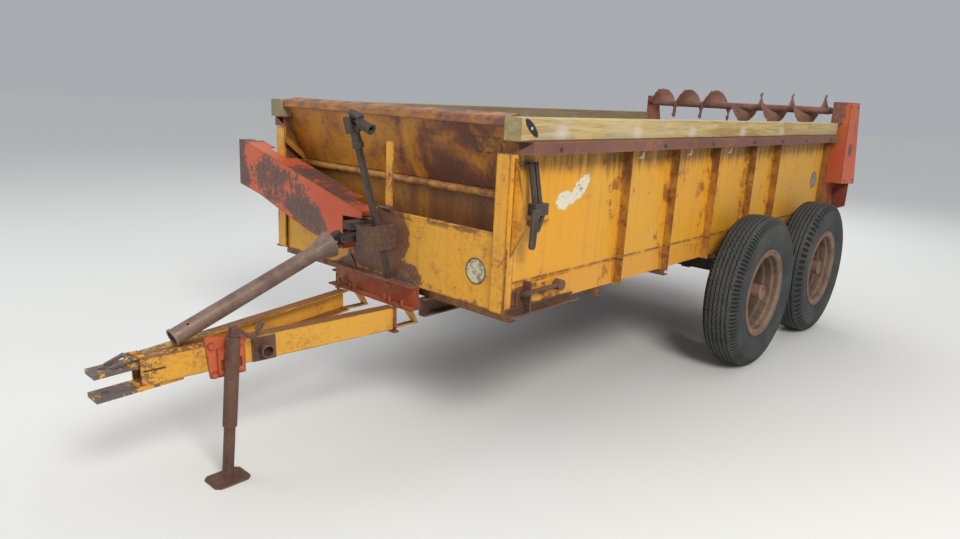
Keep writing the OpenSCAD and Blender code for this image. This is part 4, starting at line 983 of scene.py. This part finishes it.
def knife(beater, verts, faces, turn, y):
    """A bolted knife over the flight's edge; returns its two bolts' places."""
    out = Vector((math.cos(turn), 0, math.sin(turn)))
    along = Vector((-math.sin(turn), 0, math.cos(turn)))
    root = beater.radius - KNIFE_IN
    shoulder = beater.radius - FLIGHT_EDGE
    tip = beater.radius + KNIFE_OUT
    outline = ((root, -KNIFE_WIDE), (root, KNIFE_WIDE), (shoulder, KNIFE_WIDE),
               (tip, KNIFE_TIP), (tip, -KNIFE_TIP), (shoulder, -KNIFE_WIDE))
    first = len(verts)
    for dy in (0.0, KNIFE_THICK):
        verts += [out * r + along * half + Vector((0, y + dy, 0)) for r, half in outline]
    join_rings(faces, first, len(outline), 2)
    bolt = out * (beater.radius - KNIFE_BOLT_IN) + Vector((0, y, 0))
    return [bolt - along * KNIFE_BOLT_SIDE, bolt + along * KNIFE_BOLT_SIDE]


def auger(beater):
    """Beater with smooth worn flights, bolted knives and journals, in the place of its plainer solid."""
    rng = random.Random(beater.seed)
    middle = Vector(PIVOTS[beater.node])
    end_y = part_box(beater.node)[1].y
    profile = ((JOURNAL_R, -end_y), (JOURNAL_R, -beater.reach), (beater.tube_r, -beater.reach),
               (beater.tube_r, beater.reach), (JOURNAL_R, beater.reach), (JOURNAL_R, end_y))
    ring = 48
    verts, faces = [Vector(v) for v in turned(profile, (0, 0, 0), ring)], []
    join_rings(faces, 0, ring, len(profile))
    turns = (beater.reach - END_GAP - MID_GAP) / beater.pitch
    steps = math.floor(turns * 360 / FLIGHT_UNIT) * FLIGHT_UNIT // FLIGHT_STEP
    bolts = []
    for start, hand in ((-beater.reach + END_GAP, 1), (MID_GAP, -1)):
        flight(beater, rng, verts, faces, start, hand, steps)
        for degrees in range(KNIFE_FROM, int(turns * 360 - KNIFE_TO) + 1, KNIFE_STEP):
            y = start + beater.pitch * degrees / 360 - (KNIFE_THICK - FLIGHT_THICK) / 2
            bolts += knife(beater, verts, faces, math.radians(hand * degrees), y)
    verts = [v + middle for v in verts]
    piece(beater.name, verts, faces, MATS["auger"], beater.node,
          smooth=everywhere, sharp=38, node=beater.node)
    places = [(bolt + middle, (0, -1, 0)) for bolt in bolts]
    bolt_heads(beater.name + "_bolts", places, KNIFE_BOLT_SIZE, beater.node)


# Open end of each hub's tube, as (radius, distance out of the wheel's middle)
HUB_END = ((0.030, 0.046), (0.0495, 0.046), (0.0495, 0.081), (0.0470, 0.084),
           (0.0400, 0.084), (0.0390, 0.076), (0.030, 0.076))
# Nuts on each wheel disc: their number, circle, first angle, size, and the disc's face from the middle
NUTS = 6
NUT_CIRCLE = 0.088
NUT_FROM = 12
NUT_SIZE = 0.0125
DISC_FACE = -0.0868


def hub_end(corner, middle, side):
    """Sleeve on the outer end of a hub."""
    ring = 64
    verts, faces = turned([(r, side * out) for r, out in HUB_END], middle, ring), []
    join_rings(faces, 0, ring, len(HUB_END), loop=True)
    piece("hub_end_" + corner, verts, faces, MATS["rim"], corner + "_wheel",
          smooth=everywhere, sharp=30)


def wheel_nuts(corner, middle, side):
    x, y, z = middle
    places = []
    for k in range(NUTS):
        turn = math.radians(360 / NUTS * k + NUT_FROM)
        spot = (x + NUT_CIRCLE * math.cos(turn), y + side * DISC_FACE, z + NUT_CIRCLE * math.sin(turn))
        places.append((spot, (0, side, 0)))
    bolt_heads("wheel_nuts_" + corner, places, NUT_SIZE, corner + "_wheel")


# Bolts along the rails: places and size
RAIL_BOLT_BACKS = (0.215, 1.132, 1.707, 2.310, 2.801, 3.286, 3.871)
RAIL_BOLT_Z = BOX_Z + 0.715
RAIL_BOLT_SIZE = 0.0105
# Bolts on the rear gearbox's outer face: place of their pattern, columns and rows in it, size
GEARBOX_X = MID - 4.325
GEARBOX_COLUMNS = (-0.078, 0.0, 0.088)
GEARBOX_ROWS = (-0.088, 0.088)
GEARBOX_BOLT_SIZE = 0.010
# Bolts on the chain cover's outer face, as (back, height over the box's underside), and their size
COVER_BOLTS = ((4.125, 0.975), (4.305, 0.975), (4.50, 0.365), (4.235, 0.375))
COVER_BOLT_SIZE = 0.008


def rail_bolts():
    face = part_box("rails")[1].y
    places = []
    for side in (1, -1):
        places += [((MID - back, side * face, RAIL_BOLT_Z), (0, side, 0)) for back in RAIL_BOLT_BACKS]
    bolt_heads("rail_bolts", places, RAIL_BOLT_SIZE, "spreader")


def gearbox_bolts():
    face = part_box("rear_gearbox")[0].y
    middle_z = PIVOTS["lower_beater"][2]
    places = []
    for dx in GEARBOX_COLUMNS:
        places += [((GEARBOX_X + dx, face, middle_z + dz), (0, -1, 0)) for dz in GEARBOX_ROWS]
    bolt_heads("gearbox_bolts", places, GEARBOX_BOLT_SIZE, "spreader")


def cover_bolts():
    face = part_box("chain_cover")[1].y
    places = [((MID - back, face, BOX_Z + up), (0, 1, 0)) for back, up in COVER_BOLTS]
    bolt_heads("cover_bolts", places, COVER_BOLT_SIZE, "spreader")


for body, middle in WHEELS.items():
    corner = body.removesuffix("_wheel")
    side = math.copysign(1, middle[1])
    tyre(corner, middle, *TREADS[corner.split("_")[0]])
    hub_end(corner, middle, side)
    wheel_nuts(corner, middle, side)
for beater in BEATERS:
    auger(beater)
rail_bolts()
gearbox_bolts()
cover_bolts()


# Floor and sky: the floor's half width, then tones, roughness and strength
FLOOR_HALF = 60.0
FLOOR_TONE = (0.72, 0.72, 0.70, 1)
FLOOR_ROUGH = 0.9
SKY_TONE = (0.86, 0.90, 0.95, 1)
SKY_STRENGTH = 0.46
# Broad overhead light: strength, and degrees of tilt and spread
OVERHEAD_STRENGTH = 0.55
OVERHEAD_TILT = (18, -12)
OVERHEAD_SPREAD = 80
# The point that the area lamps aim at
AIM = (-0.3, 0, 0.8)
# Area lamps: name, place, watts, width, tint
LAMPS = (
    ("key", (4.2, 6.5, 6.5), 600.0, 3.0, (1.0, 0.97, 0.92)),
    ("fill", (7.0, -5.0, 5.0), 190.0, 5.0, (0.95, 0.97, 1.0)),
    ("back", (-7.0, -3.0, 6.0), 260.0, 5.0, (1.0, 1.0, 1.0)),
)
# Camera fitted to the photograph: place, degrees of yaw, pitch and roll, focal length, how far it sees
CAMERA_AT = (3.8817, 2.7643, 1.6677)
YAW, PITCH, ROLL = -138.263, -13.837, 2.944
FOCAL_PIXELS = 709.65
PHOTO_WIDTH = 960
SENSOR_WIDTH = 36.0
VIEW_DEPTH = 200.0


def studio_floor():
    mesh = bpy.data.meshes.new("studio_floor")
    corners = [(FLOOR_HALF * x, FLOOR_HALF * y, 0) for x, y in ((-1, -1), (1, -1), (1, 1), (-1, 1))]
    mesh.from_pydata(corners, [], [(0, 1, 2, 3)])
    floor = bpy.data.objects.new("studio_floor", mesh)
    bpy.context.scene.collection.objects.link(floor)
    mat = bpy.data.materials.new("studio_floor")
    mat.use_nodes = True
    shader = mat.node_tree.nodes["Principled BSDF"]
    shader.inputs["Base Color"].default_value = FLOOR_TONE
    shader.inputs["Roughness"].default_value = FLOOR_ROUGH
    mesh.materials.append(mat)


def studio_sky():
    world = bpy.data.worlds.new("studio")
    bpy.context.scene.world = world
    world.use_nodes = True
    background = world.node_tree.nodes["Background"]
    background.inputs["Color"].default_value = SKY_TONE
    background.inputs["Strength"].default_value = SKY_STRENGTH


def add_lamp(name, kind, energy, turn, place=(0, 0, 0)):
    lamp = bpy.data.lights.new(name, kind)
    lamp.energy = energy
    obj = bpy.data.objects.new(name, lamp)
    obj.location = place
    obj.rotation_euler = turn
    bpy.context.scene.collection.objects.link(obj)
    return lamp


def lamps():
    """Three area lamps, and a broad overhead light that keeps the far floor as pale as the near one."""
    for name, place, watts, width, tint in LAMPS:
        turn = (Vector(AIM) - Vector(place)).to_track_quat("-Z", "Y").to_euler()
        lamp = add_lamp(name, "AREA", watts, turn, place)
        lamp.size = width
        lamp.color = tint
    tilt_x, tilt_y = (math.radians(v) for v in OVERHEAD_TILT)
    sky = add_lamp("sky", "SUN", OVERHEAD_STRENGTH, (tilt_x, tilt_y, 0))
    sky.angle = math.radians(OVERHEAD_SPREAD)


def camera():
    yaw, pitch, roll = (math.radians(v) for v in (YAW, PITCH, ROLL))
    ahead = Vector((math.cos(pitch) * math.cos(yaw), math.cos(pitch) * math.sin(yaw), math.sin(pitch)))
    level = Vector((math.sin(yaw), -math.cos(yaw), 0.0))
    upright = level.cross(ahead)
    right = math.cos(roll) * level + math.sin(roll) * upright
    up = math.cos(roll) * upright - math.sin(roll) * level
    turn = Matrix((right, up, -ahead)).transposed()
    data = bpy.data.cameras.new("photo_view")
    data.sensor_width = SENSOR_WIDTH
    data.lens = FOCAL_PIXELS / PHOTO_WIDTH * SENSOR_WIDTH
    data.clip_end = VIEW_DEPTH
    obj = bpy.data.objects.new("photo_view", data)
    obj.matrix_world = Matrix.Translation(CAMERA_AT) @ turn.to_4x4()
    bpy.context.scene.collection.objects.link(obj)
    bpy.context.scene.camera = obj


studio_floor()
studio_sky()
lamps()
camera()
bpy.context.scene.view_settings.view_transform = "Standard"
